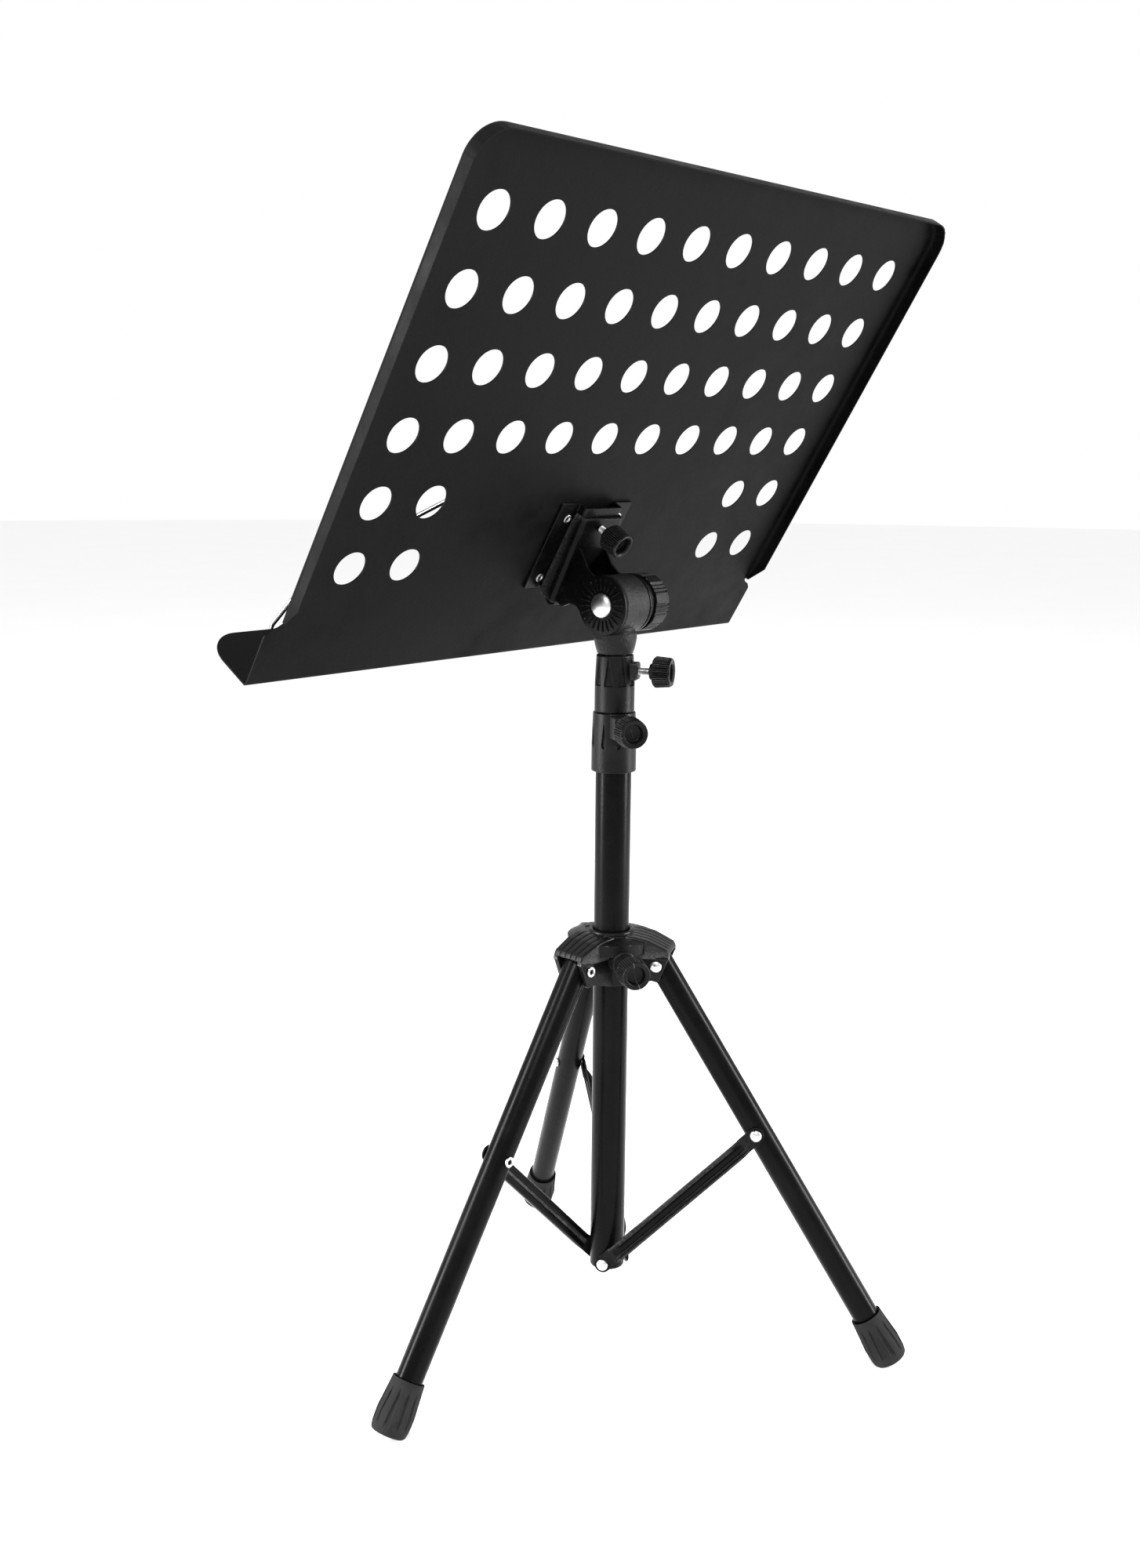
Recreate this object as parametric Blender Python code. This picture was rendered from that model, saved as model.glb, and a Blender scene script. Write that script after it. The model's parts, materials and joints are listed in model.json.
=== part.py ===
"""A folding orchestral music stand: a perforated desk on a three-part telescoping mast with a tripod.

Lengths are in millimetres and the objects are made in metres. The musician sits on the -Y side.
The mast stands on a vertical axis; heights in it are counted from a datum below the mast's end cap.
"""

import math

import bmesh
import bpy
from mathutils import Matrix, Vector

METRE = 0.001
GAP = 0.3

# Mast
TUBE_WALL = 1.0
LOWER_TUBE_R = 12.5
MIDDLE_TUBE_R = 11.0
TOP_TUBE_R = 9.5
MAST_FOOT_Z = 48.8
LOWER_TUBE_TOP_Z = 440.0
MIDDLE_TUBE_Z = (75.0, 480.0)
TOP_TUBE_Z = (95.0, 512.0)
CAP_FLANGE = 2.0
BUSH_FLANGE = 4.0
PLUG_DEPTH = 12.0

# Clutches
LOWER_CLUTCH_Z = (420.8, 462.2)
UPPER_CLUTCH_Z = (462.5, 501.8)
LOWER_SCREW_Z = 453.2
UPPER_SCREW_Z = 490.8
LOWER_SCREW_AZIMUTH = 56.0
UPPER_SCREW_AZIMUTH = 113.8

# Thumb screws
SCREW_R = 2.5
SCREW_HOLE_R = 2.65
KNOB_R = 10.9
KNOB_COLLAR_R = 5.5
KNOB_COLLAR = 2.5
KNOB_BORE_R = 2.75
KNOB_CUP_R = 6.5
KNOB_CUP_DEPTH = 6.0
KNOB_WEB = 2.0
NUT_R = 5.2
NUT_THICKNESS = 4.0

# Tripod
LEG_AZIMUTHS = (355.44, 115.44, 235.44)
LEG_SLOPE = 31.756
LEG_R = 9.5
LEG_WALL = 1.2
APEX_Z = 342.1
LEG_PIVOT_R = 35.4
LEG_ABOVE_PIVOT = 6.5
FOOT_TOP = 363.0
FOOT_END = 398.5
FOOT_TOP_R = 11.3
FOOT_WAIST_R = 13.3
FOOT_END_R = 12.2
FOOT_SOLE = 6.0
BRACE_PIVOT_DROP = 140.0
MAST_PIVOT_Z = 53.9
BRACE_WIDTH = 12.0
BRACE_SHEET = 1.5
BRACE_DEPTH = 4.5
BRACE_FLAT_END = 14.0
BRACE_OFF_MAST = 1.0
RIVET_R = 2.5
RIVET_HOLE_R = 2.65
RIVET_HEAD_R = 4.3
RIVET_HEAD = 2.2

# Hub
HUB_Z = (268.5, 302.0)
HUB_RIM_Z = 293.6
HUB_RIM_R = 31.4
HUB_COLLAR_Z = 307.0
HUB_COLLAR_R = 15.9
HUB_WALL_R = 18.0
HUB_SCREW_Z = 289.2
HUB_SCREW_AZIMUTH = 55.44
EAR_INNER = 9.8
EAR_OUTER = 13.8
ARM_HALF_WIDTH = (16.0, 13.3)

# Tilt head and tilt bracket
TILT_Z = 536.1
BARREL_R = 20.4
BARREL_HALF = 12.4
TILT_EAR = (12.7, 15.0)
TILT_KNOB_X = (17.1, 36.0)
TILT_KNOB_R = 20.0
TILT_HEAD_R = 8.5
WASHER_R = 12.0

# Desk
LEAN = 31.08
AXIS_UP_THE_DESK = -121.1
AXIS_BEHIND_DESK = 50.9
SHEET = 1.0
DESK_HALF = 246.0
DESK_LOWER_HALF = 254.6
DESK_TOP = 160.5
DESK_FOLD = -196.1
RIM_DEPTH = 10.3
RIM_BEND_R = 3.5
RIM_CORNER_R = 17.5
RIM_END = -150.0
SHOULDER = -155.0
SHELF_ANGLE = 87.4
SHELF_DEPTH = 48.4
SHELF_CORNER_R = 25.0
FOLD_R = 2.0
HOLE_R = 11.85
HOLE_PITCH = (46.0, 45.65)
HOLE_COLUMNS = 10
HOLE_ROWS = 6
LOWER_ROWS = 2
EDGE_COLUMNS = 2

# Desk bracket, a hat section whose crown faces backwards
HAT_Y = (-139.0, -71.5)
HAT_HALF = 19.3
HAT_FLANGE_HALF = 37.0
HAT_SHEET = 1.5
HAT_CROWN = 9.2
DESK_RIVET_X = 27.0
DESK_RIVET_Y = (-130.0, -82.7)
DESK_SCREW_Y = -85.0
DESK_KNOB_R = 9.7
DESK_KNOB = (18.9, 36.0)

# Page holders
WIRE_R = 1.5
WIRE_HOLE_R = 1.9
WIRE_PIVOT = (209.5, 38.0)
WIRE_BEND_R = 5.0

# The mast stands this far from the middle of the whole stand's depth.
MAST_Y = -8.17

BLACK_PAINT = ((0.012, 0.012, 0.013), 0.45, 0.38)
BLACK_PLASTIC = ((0.016, 0.016, 0.017), 0.0, 0.42)
RUBBER = ((0.014, 0.014, 0.015), 0.0, 0.62)
CHROME = ((0.62, 0.62, 0.63), 1.0, 0.14)
ZINC = ((0.50, 0.50, 0.52), 1.0, 0.32)


def clear_scene():
    for obj in list(bpy.data.objects):
        bpy.data.objects.remove(obj, do_unlink=True)


def radians(degrees):
    return math.radians(degrees)


# ---------------------------------------------------------------- frames, materials, objects


def frame(name, parent, place, turn=(0.0, 0.0, 0.0)):
    """An empty that carries a group of pieces; a moving group's empty lies on its joint."""
    empty = bpy.data.objects.new(name, None)
    empty.empty_display_size = 0.02
    empty.parent = parent
    empty.location = Vector(place) * METRE
    empty.rotation_euler = [radians(angle) for angle in turn]
    bpy.context.scene.collection.objects.link(empty)
    return empty


def material(name, finish):
    colour, metallic, roughness = finish
    made = bpy.data.materials.new(name)
    made.use_nodes = True
    shader = made.node_tree.nodes["Principled BSDF"]
    shader.inputs["Base Color"].default_value = (*colour, 1.0)
    shader.inputs["Metallic"].default_value = metallic
    shader.inputs["Roughness"].default_value = roughness
    return made


def link(name, data, parent):
    obj = bpy.data.objects.new(name, data)
    obj.parent = parent
    bpy.context.scene.collection.objects.link(obj)
    return obj


def mesh_of(name, shape):
    bmesh.ops.recalc_face_normals(shape, faces=shape.faces)
    shape.transform(Matrix.Scale(METRE, 4))
    mesh = bpy.data.meshes.new(name)
    shape.to_mesh(mesh)
    shape.free()
    return mesh


def piece(name, shape, parent, finish):
    mesh = mesh_of(name, shape)
    mesh.shade_smooth()
    mesh.set_sharp_from_angle(angle=radians(35))
    obj = link(name, mesh, parent)
    obj.data.materials.append(material(name, finish))
    return obj


def tool(obj, shape, operation):
    """Adds a Boolean to the object, with a hidden tool of the given shape in the same frame."""
    name = f"{obj.name}_{operation.lower()}_{len(obj.modifiers)}"
    other = link(name, mesh_of(name, shape), obj.parent)
    other.hide_render = True
    other.display_type = "WIRE"
    boolean = obj.modifiers.new(name, "BOOLEAN")
    boolean.operation = operation
    boolean.object = other


def cut(obj, shape):
    tool(obj, shape, "DIFFERENCE")


def weld(obj, shape):
    tool(obj, shape, "UNION")


# ---------------------------------------------------------------- shapes


def turned(outline, turn=None, segments=24):
    """A solid turned about Z from (radius, height) points, closed through the axis or in itself."""
    shape = bmesh.new()
    rings = []
    for radius, height in outline:
        if radius == 0.0:
            rings.append([shape.verts.new((0.0, 0.0, height))])
            continue
        ring = []
        for step in range(segments):
            angle = 2 * math.pi * step / segments
            ring.append(shape.verts.new((radius * math.cos(angle), radius * math.sin(angle), height)))
        rings.append(ring)
    pairs = list(zip(rings, rings[1:]))
    if len(rings[0]) > 1:
        pairs.append((rings[-1], rings[0]))
    for low, high in pairs:
        for step in range(segments):
            after = (step + 1) % segments
            corners = [low[step % len(low)], low[after % len(low)], high[after % len(high)], high[step % len(high)]]
            shape.faces.new(list(dict.fromkeys(corners)))
    if turn is not None:
        shape.transform(turn)
    return shape


def cylinder(radius, low, high, turn=None, segments=24):
    return turned([(0.0, low), (radius, low), (radius, high), (0.0, high)], turn, segments)


def tube(outer, inner, low, high, segments=24):
    return turned([(inner, low), (outer, low), (outer, high), (inner, high)], None, segments)


def prism(outline, low, high, axis="Z"):
    """An outline extruded along an axis: (x, y) points for Z, (x, z) for Y and (y, z) for X."""
    places = {
        "Z": lambda u, v, w: (u, v, w),
        "Y": lambda u, v, w: (u, w, v),
        "X": lambda u, v, w: (w, u, v),
    }
    shape = bmesh.new()
    add_prism(shape, outline, low, high, places[axis])
    return shape


def add_prism(shape, outline, low, high, place):
    bottom = [shape.verts.new(place(u, v, low)) for u, v in outline]
    top = [shape.verts.new(place(u, v, high)) for u, v in outline]
    shape.faces.new(bottom[::-1])
    shape.faces.new(top)
    for step in range(len(outline)):
        after = (step + 1) % len(outline)
        shape.faces.new((bottom[step], bottom[after], top[after], top[step]))


def rectangle(left, right, low, high):
    return [(left, low), (right, low), (right, high), (left, high)]


def arc(centre, radius, start, end, steps):
    points = []
    for step in range(steps + 1):
        angle = radians(start + (end - start) * step / steps)
        points.append((centre[0] + radius * math.cos(angle), centre[1] + radius * math.sin(angle)))
    return points


def dome(radius, height, base, outward, steps=2):
    """Points of a domed head, from its rim to its crown on the axis."""
    points = []
    for step in range(steps):
        angle = 0.5 * math.pi * step / steps
        points.append((radius * math.cos(angle), base + outward * height * math.sin(angle)))
    points.append((0.0, base + outward * height))
    return points


def joined(shapes):
    """Several shapes that don't touch, as one mesh for a single cut or weld."""
    whole = bmesh.new()
    for shape in shapes:
        part = bpy.data.meshes.new("part")
        shape.to_mesh(part)
        shape.free()
        whole.from_mesh(part)
        bpy.data.meshes.remove(part)
    return whole


def moved(shape, x=0.0, y=0.0, z=0.0):
    shape.transform(Matrix.Translation((x, y, z)))
    return shape


def about(degrees, axis):
    return Matrix.Rotation(radians(degrees), 4, axis)


ALONG_X = about(90, "Y")
ALONG_Y = about(-90, "X")


# ---------------------------------------------------------------- thumb screws


def outward_frame(name, parent, azimuth, height):
    """A frame on the mast's axis whose Z points out along an azimuth."""
    return frame(name, parent, (0.0, 0.0, height), (0.0, 90.0, azimuth))


def knob_outline(length, radius):
    cup_floor = length - KNOB_CUP_DEPTH
    bore_end = cup_floor - KNOB_WEB
    return [
        (0.0, bore_end),
        (KNOB_BORE_R, bore_end),
        (KNOB_BORE_R, 0.0),
        (KNOB_COLLAR_R, 0.0),
        (KNOB_COLLAR_R, KNOB_COLLAR),
        (radius - 1.6, KNOB_COLLAR),
        (radius, KNOB_COLLAR + 1.6),
        (0.92 * radius, length - 1.0),
        (0.85 * radius, length),
        (KNOB_CUP_R, length),
        (KNOB_CUP_R - 0.4, cup_floor),
        (0.0, cup_floor),
    ]


def thumb_screw(prefix, parent, tip, knob_span, radius=KNOB_R):
    """A screw and its moulded knob along the frame's Z, the screw's tip and the knob's span given on it."""
    start, end = knob_span
    length = end - start
    screw_end = end - KNOB_CUP_DEPTH - KNOB_WEB - GAP
    piece(f"{prefix}_screw", cylinder(SCREW_R, tip, screw_end, segments=14), parent, ZINC)
    knob = turned(knob_outline(length, radius), Matrix.Translation((0.0, 0.0, start)), 16)
    piece(f"{prefix}_knob", knob, parent, BLACK_PLASTIC)


def hexagon(radius):
    return arc((0.0, 0.0), radius, 0.0, 300.0, 5)


def captive_nut(name, parent, start):
    nut = piece(name, prism(hexagon(NUT_R), start, start + NUT_THICKNESS), parent, ZINC)
    cut(nut, cylinder(SCREW_HOLE_R, start - 1.0, start + NUT_THICKNESS + 1.0, segments=14))


def screw_way(obj, parent, start, nut_start):
    """Cuts the screw's hole and the nut's pocket, both in the screw's frame, out of a housing."""
    turn = frame_within(obj.parent, parent)
    hole = cylinder(SCREW_HOLE_R + 0.1, start, start + 60.0, turn, 14)
    cut(obj, hole)
    pocket = prism(hexagon(NUT_R + GAP), nut_start - GAP, nut_start + NUT_THICKNESS + GAP)
    pocket.transform(turn)
    cut(obj, pocket)


def frame_within(outer, inner):
    """The inner frame's placement in its parent, the outer frame, in millimetres."""
    turn = inner.rotation_euler.to_matrix().to_4x4()
    return Matrix.Translation(inner.location / METRE) @ turn


# ---------------------------------------------------------------- mast


def lower_tube(mast):
    foot = MAST_FOOT_Z + CAP_FLANGE + GAP
    inner = LOWER_TUBE_R - TUBE_WALL
    piece("lower_tube", tube(LOWER_TUBE_R, inner, foot, LOWER_TUBE_TOP_Z), mast, BLACK_PAINT)


def mast_end_cap(mast):
    flange_top = MAST_FOOT_Z + CAP_FLANGE
    plug_r = LOWER_TUBE_R - TUBE_WALL - GAP
    outline = [
        (0.0, MAST_FOOT_Z),
        (LOWER_TUBE_R - 1.0, MAST_FOOT_Z),
        (LOWER_TUBE_R, MAST_FOOT_Z + 1.0),
        (LOWER_TUBE_R, flange_top),
        (plug_r, flange_top),
        (plug_r, flange_top + PLUG_DEPTH),
        (0.0, flange_top + PLUG_DEPTH),
    ]
    piece("mast_end_cap", turned(outline), mast, BLACK_PLASTIC)


def clutch(name, parent, screw_frame, span, radii, tube_radii, tube_top, boss):
    """A clamp on the end of one tube that grips the next: turned body, square boss, stepped bore."""
    low, high = span
    outer_tube, inner_tube = tube_radii
    body = turned([(0.0, low), (radii[0], low), (radii[0], low + 20.0), (radii[1], high), (0.0, high)])
    obj = piece(name, body, parent, BLACK_PLASTIC)
    boss_half, boss_end = boss
    block = prism(rectangle(-boss_half, boss_half, -boss_half, boss_half), 2.0, boss_end)
    block.transform(frame_within(parent, screw_frame))
    weld(obj, block)
    bore = [
        (0.0, low - 5.0),
        (outer_tube + GAP, low - 5.0),
        (outer_tube + GAP, tube_top + GAP),
        (inner_tube + GAP, tube_top + GAP),
        (inner_tube + GAP, high + 5.0),
        (0.0, high + 5.0),
    ]
    cut(obj, turned(bore))
    return obj


def lower_clutch(mast):
    screw = outward_frame("lower_screw_frame", mast, LOWER_SCREW_AZIMUTH, LOWER_SCREW_Z)
    radii = (15.6, 14.8)
    tubes = (LOWER_TUBE_R, MIDDLE_TUBE_R)
    made = clutch("lower_clutch", mast, screw, LOWER_CLUTCH_Z, radii, tubes, LOWER_TUBE_TOP_Z, (7.5, 25.5))
    screw_way(made, screw, 5.0, 18.0)
    captive_nut("lower_clutch_nut", screw, 18.0)
    thumb_screw("lower_clutch", screw, MIDDLE_TUBE_R + GAP, (28.0, 45.5))


def middle_tube(mast):
    low, high = MIDDLE_TUBE_Z
    piece("middle_tube", tube(MIDDLE_TUBE_R, MIDDLE_TUBE_R - TUBE_WALL, low, high), mast, BLACK_PAINT)


def bush(name, mast, tube_r, outer, bore, tube_foot):
    """A plastic guide below a tube's end: its flange slides in the tube outside, its plug sits inside."""
    flange_top = tube_foot - GAP
    plug_r = tube_r - TUBE_WALL - GAP
    outline = [
        (bore, flange_top - BUSH_FLANGE),
        (outer, flange_top - BUSH_FLANGE),
        (outer, flange_top),
        (plug_r, flange_top),
        (plug_r, flange_top + PLUG_DEPTH),
        (bore, flange_top + PLUG_DEPTH),
    ]
    piece(name, turned(outline), mast, BLACK_PLASTIC)


def upper_clutch(mast):
    screw = outward_frame("upper_screw_frame", mast, UPPER_SCREW_AZIMUTH, UPPER_SCREW_Z)
    radii = (13.8, 12.8)
    tubes = (MIDDLE_TUBE_R, TOP_TUBE_R)
    made = clutch("upper_clutch", mast, screw, UPPER_CLUTCH_Z, radii, tubes, MIDDLE_TUBE_Z[1], (6.0, 17.0))
    screw_way(made, screw, 5.0, 12.2)
    captive_nut("upper_clutch_nut", screw, 12.2)
    thumb_screw("upper_clutch", screw, TOP_TUBE_R + GAP, (25.1, 40.5))


def top_tube(mast):
    low, high = TOP_TUBE_Z
    piece("top_tube", tube(TOP_TUBE_R, TOP_TUBE_R - TUBE_WALL, low, high), mast, BLACK_PAINT)


def tilt_head(mast):
    """A cast head: a neck that sockets the top tube and a barrel between the bracket's ears."""
    outline = [
        (0.0, 502.6),
        (12.3, 502.6),
        (13.05, 505.0),
        (14.1, 509.0),
        (14.8, 513.0),
        (14.8, 515.4),
        (12.3, 515.4),
        (12.3, 530.0),
        (0.0, 530.0),
    ]
    obj = piece("tilt_head", turned(outline), mast, BLACK_PLASTIC)
    barrel = cylinder(BARREL_R, -BARREL_HALF, BARREL_HALF, ALONG_X, 32)
    weld(obj, moved(barrel, z=TILT_Z))
    socket_top = TOP_TUBE_Z[1] + GAP
    cut(obj, cylinder(TOP_TUBE_R + GAP, 495.0, socket_top))
    cut(obj, moved(cylinder(SCREW_HOLE_R, -20.0, 20.0, ALONG_X, 14), z=TILT_Z))


# ---------------------------------------------------------------- tripod


def hub(mast):
    """A moulded hub: a collar round the mast and three channel arms that hold the legs."""
    low, high = HUB_Z
    rim = [(0.0, low), (HUB_WALL_R, low), (HUB_WALL_R, HUB_RIM_Z), (HUB_RIM_R, HUB_RIM_Z)]
    collar = [(HUB_RIM_R, high), (22.0, 303.6), (HUB_COLLAR_R, 304.0)]
    collar += [(HUB_COLLAR_R, HUB_COLLAR_Z - 0.8), (HUB_COLLAR_R - 0.8, HUB_COLLAR_Z), (0.0, HUB_COLLAR_Z)]
    obj = piece("hub", turned(rim + collar, segments=36), mast, BLACK_PLASTIC)
    lower = [(13.2, low + 0.4), (32.6, 274.0), (37.4, 273.0), (44.0, 291.0), (13.2, 291.0)]
    upper = [(14.0, 290.2), (43.8, 290.2), (44.4, 294.0), (43.0, 296.9), (29.4, 303.2), (20.0, 305.2), (14.0, 305.2)]
    lowers = [prism(lower, -EAR_OUTER, EAR_OUTER, "Y") for _ in LEG_AZIMUTHS]
    uppers = [narrowed(prism(upper, -1.0, 1.0, "Y"), ARM_HALF_WIDTH, (14.0, 44.4)) for _ in LEG_AZIMUTHS]
    weld(obj, joined(turn_each(lowers)))
    weld(obj, joined(turn_each(uppers)))
    screw = outward_frame("hub_screw_frame", mast, HUB_SCREW_AZIMUTH, HUB_SCREW_Z)
    boss = cylinder(8.8, 12.0, 33.0, frame_within(mast, screw), 24)
    weld(obj, boss)
    slot = [(22.0, low - 5.0), (60.0, low - 5.0), (60.0, 290.3), (44.2, 294.4), (30.0, 299.6), (22.0, 299.6)]
    slots = [prism(slot, -EAR_INNER, EAR_INNER, "Y") for _ in LEG_AZIMUTHS]
    cut(obj, joined(turn_each(slots)))
    cut(obj, cylinder(LOWER_TUBE_R + GAP, low - 5.0, HUB_COLLAR_Z + 5.0))
    pin = [moved(cylinder(RIVET_HOLE_R, -20.0, 20.0, ALONG_Y, 12), LEG_PIVOT_R, 0.0, leg_pivot_z()) for _ in range(3)]
    cut(obj, joined(turn_each(pin)))
    screw_way(obj, screw, 5.0, 22.0)
    captive_nut("hub_nut", screw, 22.0)
    thumb_screw("hub", screw, LOWER_TUBE_R + GAP, (43.5, 60.8))


def narrowed(shape, half_widths, between):
    """Gives a shape of unit half-width along Y one half-width near the axis and another at the arm's end."""
    for vert in shape.verts:
        share = (vert.co.x - between[0]) / (between[1] - between[0])
        vert.co.y *= half_widths[0] + share * (half_widths[1] - half_widths[0])
    return shape


def turn_each(shapes):
    for shape, azimuth in zip(shapes, LEG_AZIMUTHS):
        shape.transform(about(azimuth, "Z"))
    return shapes


def leg_pivot_z():
    return APEX_Z - LEG_PIVOT_R / math.tan(radians(LEG_SLOPE))


def pivot_from_apex():
    return LEG_PIVOT_R / math.sin(radians(LEG_SLOPE))


def rivet(name, parent, head_face, end_face):
    """A rivet along Y: a domed head on its -Y end and a rolled hollow end on the other."""
    rolled = 1.3
    outline = dome(RIVET_HEAD_R, RIVET_HEAD, head_face, -1)[::-1]
    outline += [
        (RIVET_R, head_face),
        (RIVET_R, end_face),
        (3.7, end_face),
        (3.5, end_face + rolled),
        (1.7, end_face + rolled),
        (1.7, end_face - 3.0),
        (0.0, end_face - 3.0),
    ]
    piece(name, turned(outline, ALONG_Y, 10), parent, CHROME)


def leg(number, leg_frame):
    """A leg tube from just above its pivot down into its rubber foot."""
    start = pivot_from_apex()
    foot_top = start - FOOT_TOP
    foot_end = start - FOOT_END
    tube_end = foot_end + FOOT_SOLE
    made = piece(f"leg_{number}", tube(LEG_R, LEG_R - LEG_WALL, tube_end, LEG_ABOVE_PIVOT, 20), leg_frame, BLACK_PAINT)
    holes = [cylinder(RIVET_HOLE_R, -20.0, 20.0, ALONG_Y, 12) for _ in range(2)]
    moved(holes[1], z=-BRACE_PIVOT_DROP)
    cut(made, joined(holes))
    waist = foot_top + 0.6 * (foot_end - foot_top)
    outline = [
        (0.0, foot_end),
        (FOOT_END_R - 1.0, foot_end),
        (FOOT_END_R, foot_end + 1.0),
        (FOOT_WAIST_R, waist),
        (FOOT_TOP_R, foot_top),
        (LEG_R + GAP, foot_top),
        (LEG_R + GAP, tube_end - GAP),
        (0.0, tube_end - GAP),
    ]
    piece(f"foot_{number}", turned(outline, None, 20), leg_frame, RUBBER)
    joint = frame(f"leg_{number}_rivet_frame", leg_frame, (0.0, 0.0, -BRACE_PIVOT_DROP))
    rivet(f"leg_{number}_rivet", joint, -EAR_INNER - BRACE_SHEET - GAP, LEG_R + GAP)


def brace_ends():
    """The brace's two pivots in the leg's radial plane, as (radius, height)."""
    reach = pivot_from_apex() + BRACE_PIVOT_DROP
    slope = radians(LEG_SLOPE)
    top = Vector((reach * math.sin(slope), APEX_Z - reach * math.cos(slope)))
    return top, Vector((0.0, MAST_PIVOT_Z))


def brace(number, mast, azimuth):
    """A pressed channel on the leg's clockwise side, skewed to meet the thicker mast tube."""
    top, bottom = brace_ends()
    along = top - bottom
    length = along.length
    tilt = math.degrees(math.atan2(along.x, along.y))
    out = about(azimuth, "Z") @ Vector((top.x, 0.0, top.y))
    brace_frame = frame(f"brace_{number}_frame", mast, out, (0.0, tilt, azimuth))
    half = 0.5 * BRACE_WIDTH
    ends = arc((0.0, 0.0), half, 0.0, 180.0, 8) + arc((0.0, -length), half, 180.0, 360.0, 8)
    flat = prism(ends, -BRACE_SHEET, 0.0, "Y")
    skew = Matrix.Identity(4)
    skew[1][2] = (LOWER_TUBE_R + BRACE_OFF_MAST - LEG_R - GAP) / length
    skew[1][3] = -LEG_R - GAP
    flat.transform(skew)
    made = piece(f"brace_{number}", flat, brace_frame, BLACK_PAINT)
    for side in (-1, 1):
        edges = sorted((side * half, side * (half - BRACE_SHEET)))
        wall = prism(rectangle(*edges, BRACE_FLAT_END - length, -BRACE_FLAT_END), -BRACE_DEPTH, -0.5, "Y")
        wall.transform(skew)
        weld(made, wall)
    holes = [cylinder(RIVET_HOLE_R, -30.0, 20.0, ALONG_Y, 12) for _ in range(2)]
    moved(holes[1], z=-length)
    cut(made, joined(holes))
    mast_joint = frame(f"brace_{number}_rivet_frame", brace_frame, (0.0, 0.0, -length))
    face = -LOWER_TUBE_R - GAP
    head = -LOWER_TUBE_R - BRACE_OFF_MAST - BRACE_SHEET - GAP
    outline = dome(RIVET_HEAD_R, RIVET_HEAD, head, -1)[::-1] + [(RIVET_R, head), (RIVET_R, face), (0.0, face)]
    piece(f"mast_rivet_{number}", turned(outline, ALONG_Y, 10), mast_joint, CHROME)


def tripod(mast):
    hub(mast)
    for number, azimuth in enumerate(LEG_AZIMUTHS, start=1):
        place = about(azimuth, "Z") @ Vector((LEG_PIVOT_R, 0.0, leg_pivot_z()))
        arm_frame = frame(f"arm_{number}_frame", mast, place, (0.0, 0.0, azimuth))
        leg_frame = frame(f"leg_{number}_frame", mast, place, (0.0, -LEG_SLOPE, azimuth))
        rivet(f"hub_rivet_{number}", arm_frame, -EAR_OUTER - GAP, EAR_OUTER + GAP)
        leg(number, leg_frame)
        brace(number, mast, azimuth)


# ---------------------------------------------------------------- tilt bracket


def on_bracket(points):
    """(height up the desk, distance behind it) points, in the tilt frame's (y, z)."""
    return [(up - AXIS_UP_THE_DESK, AXIS_BEHIND_DESK - behind) for up, behind in points]


def ear_outline():
    """An ear in the tilt frame's (y, z): a disc round the axis with an arm up to the wall."""
    above = [(21.5, 37.0), (17.5, 30.4), (14.0, 24.6), (12.6, 18.3)]
    below = [(-13.1, 18.6), (-15.3, 24.5), (-21.1, 28.9), (-20.9, 34.5)]
    return above + arc((0.0, 0.0), BARREL_R, 48.0, -221.0, 22) + below


def tilt_bracket(tilt):
    """A folded stamping: a wall with side lips, a tongue inside the hat and two ears."""
    wall = [(-77.7, 12.6), (-142.0, 17.4), (-142.0, 15.8), (-77.7, 11.0)]
    obj = piece("tilt_bracket", prism(on_bracket(wall), -21.2, 21.2, "X"), tilt, BLACK_PAINT)
    hook = [
        (-130.0, 16.6),
        (-139.3, 17.2),
        (-144.5, 16.2),
        (-147.0, 12.0),
        (-145.3, 7.6),
        (-141.5, 5.8),
        (-90.0, 5.8),
        (-90.0, 7.4),
        (-139.3, 7.4),
        (-139.3, 9.8),
        (-142.2, 12.0),
        (-139.3, 15.0),
        (-130.0, 15.3),
    ]
    weld(obj, prism(on_bracket(hook), -16.5, 16.5, "X"))
    lip = [(-78.5, 12.0), (-140.5, 16.6), (-140.5, 2.9), (-78.5, 2.9)]
    ear_low, ear_high = TILT_EAR
    for side in (-1, 1):
        weld(obj, prism(on_bracket(lip), *sorted((side * 19.6, side * 21.0)), "X"))
        weld(obj, prism(ear_outline(), *sorted((side * ear_low, side * ear_high)), "X"))
    cut(obj, cylinder(SCREW_HOLE_R, -30.0, 30.0, ALONG_X, 14))
    screw_up = DESK_SCREW_Y - AXIS_UP_THE_DESK
    cut(obj, moved(cylinder(SCREW_HOLE_R, 34.0, 41.5, segments=14), y=screw_up))
    return obj


def tilt_bolt(tilt):
    """A bolt along X with a domed head outside the +X ear."""
    ear = TILT_EAR[1] + GAP
    head = dome(TILT_HEAD_R, 4.2, ear, 1, 4)[::-1]
    outline = head + [(TILT_HEAD_R - 0.3, ear - 0.0), (SCREW_R, ear), (SCREW_R, -27.0), (0.0, -27.0)]
    piece("tilt_bolt", turned(outline, ALONG_X, 16), tilt, CHROME)


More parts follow.
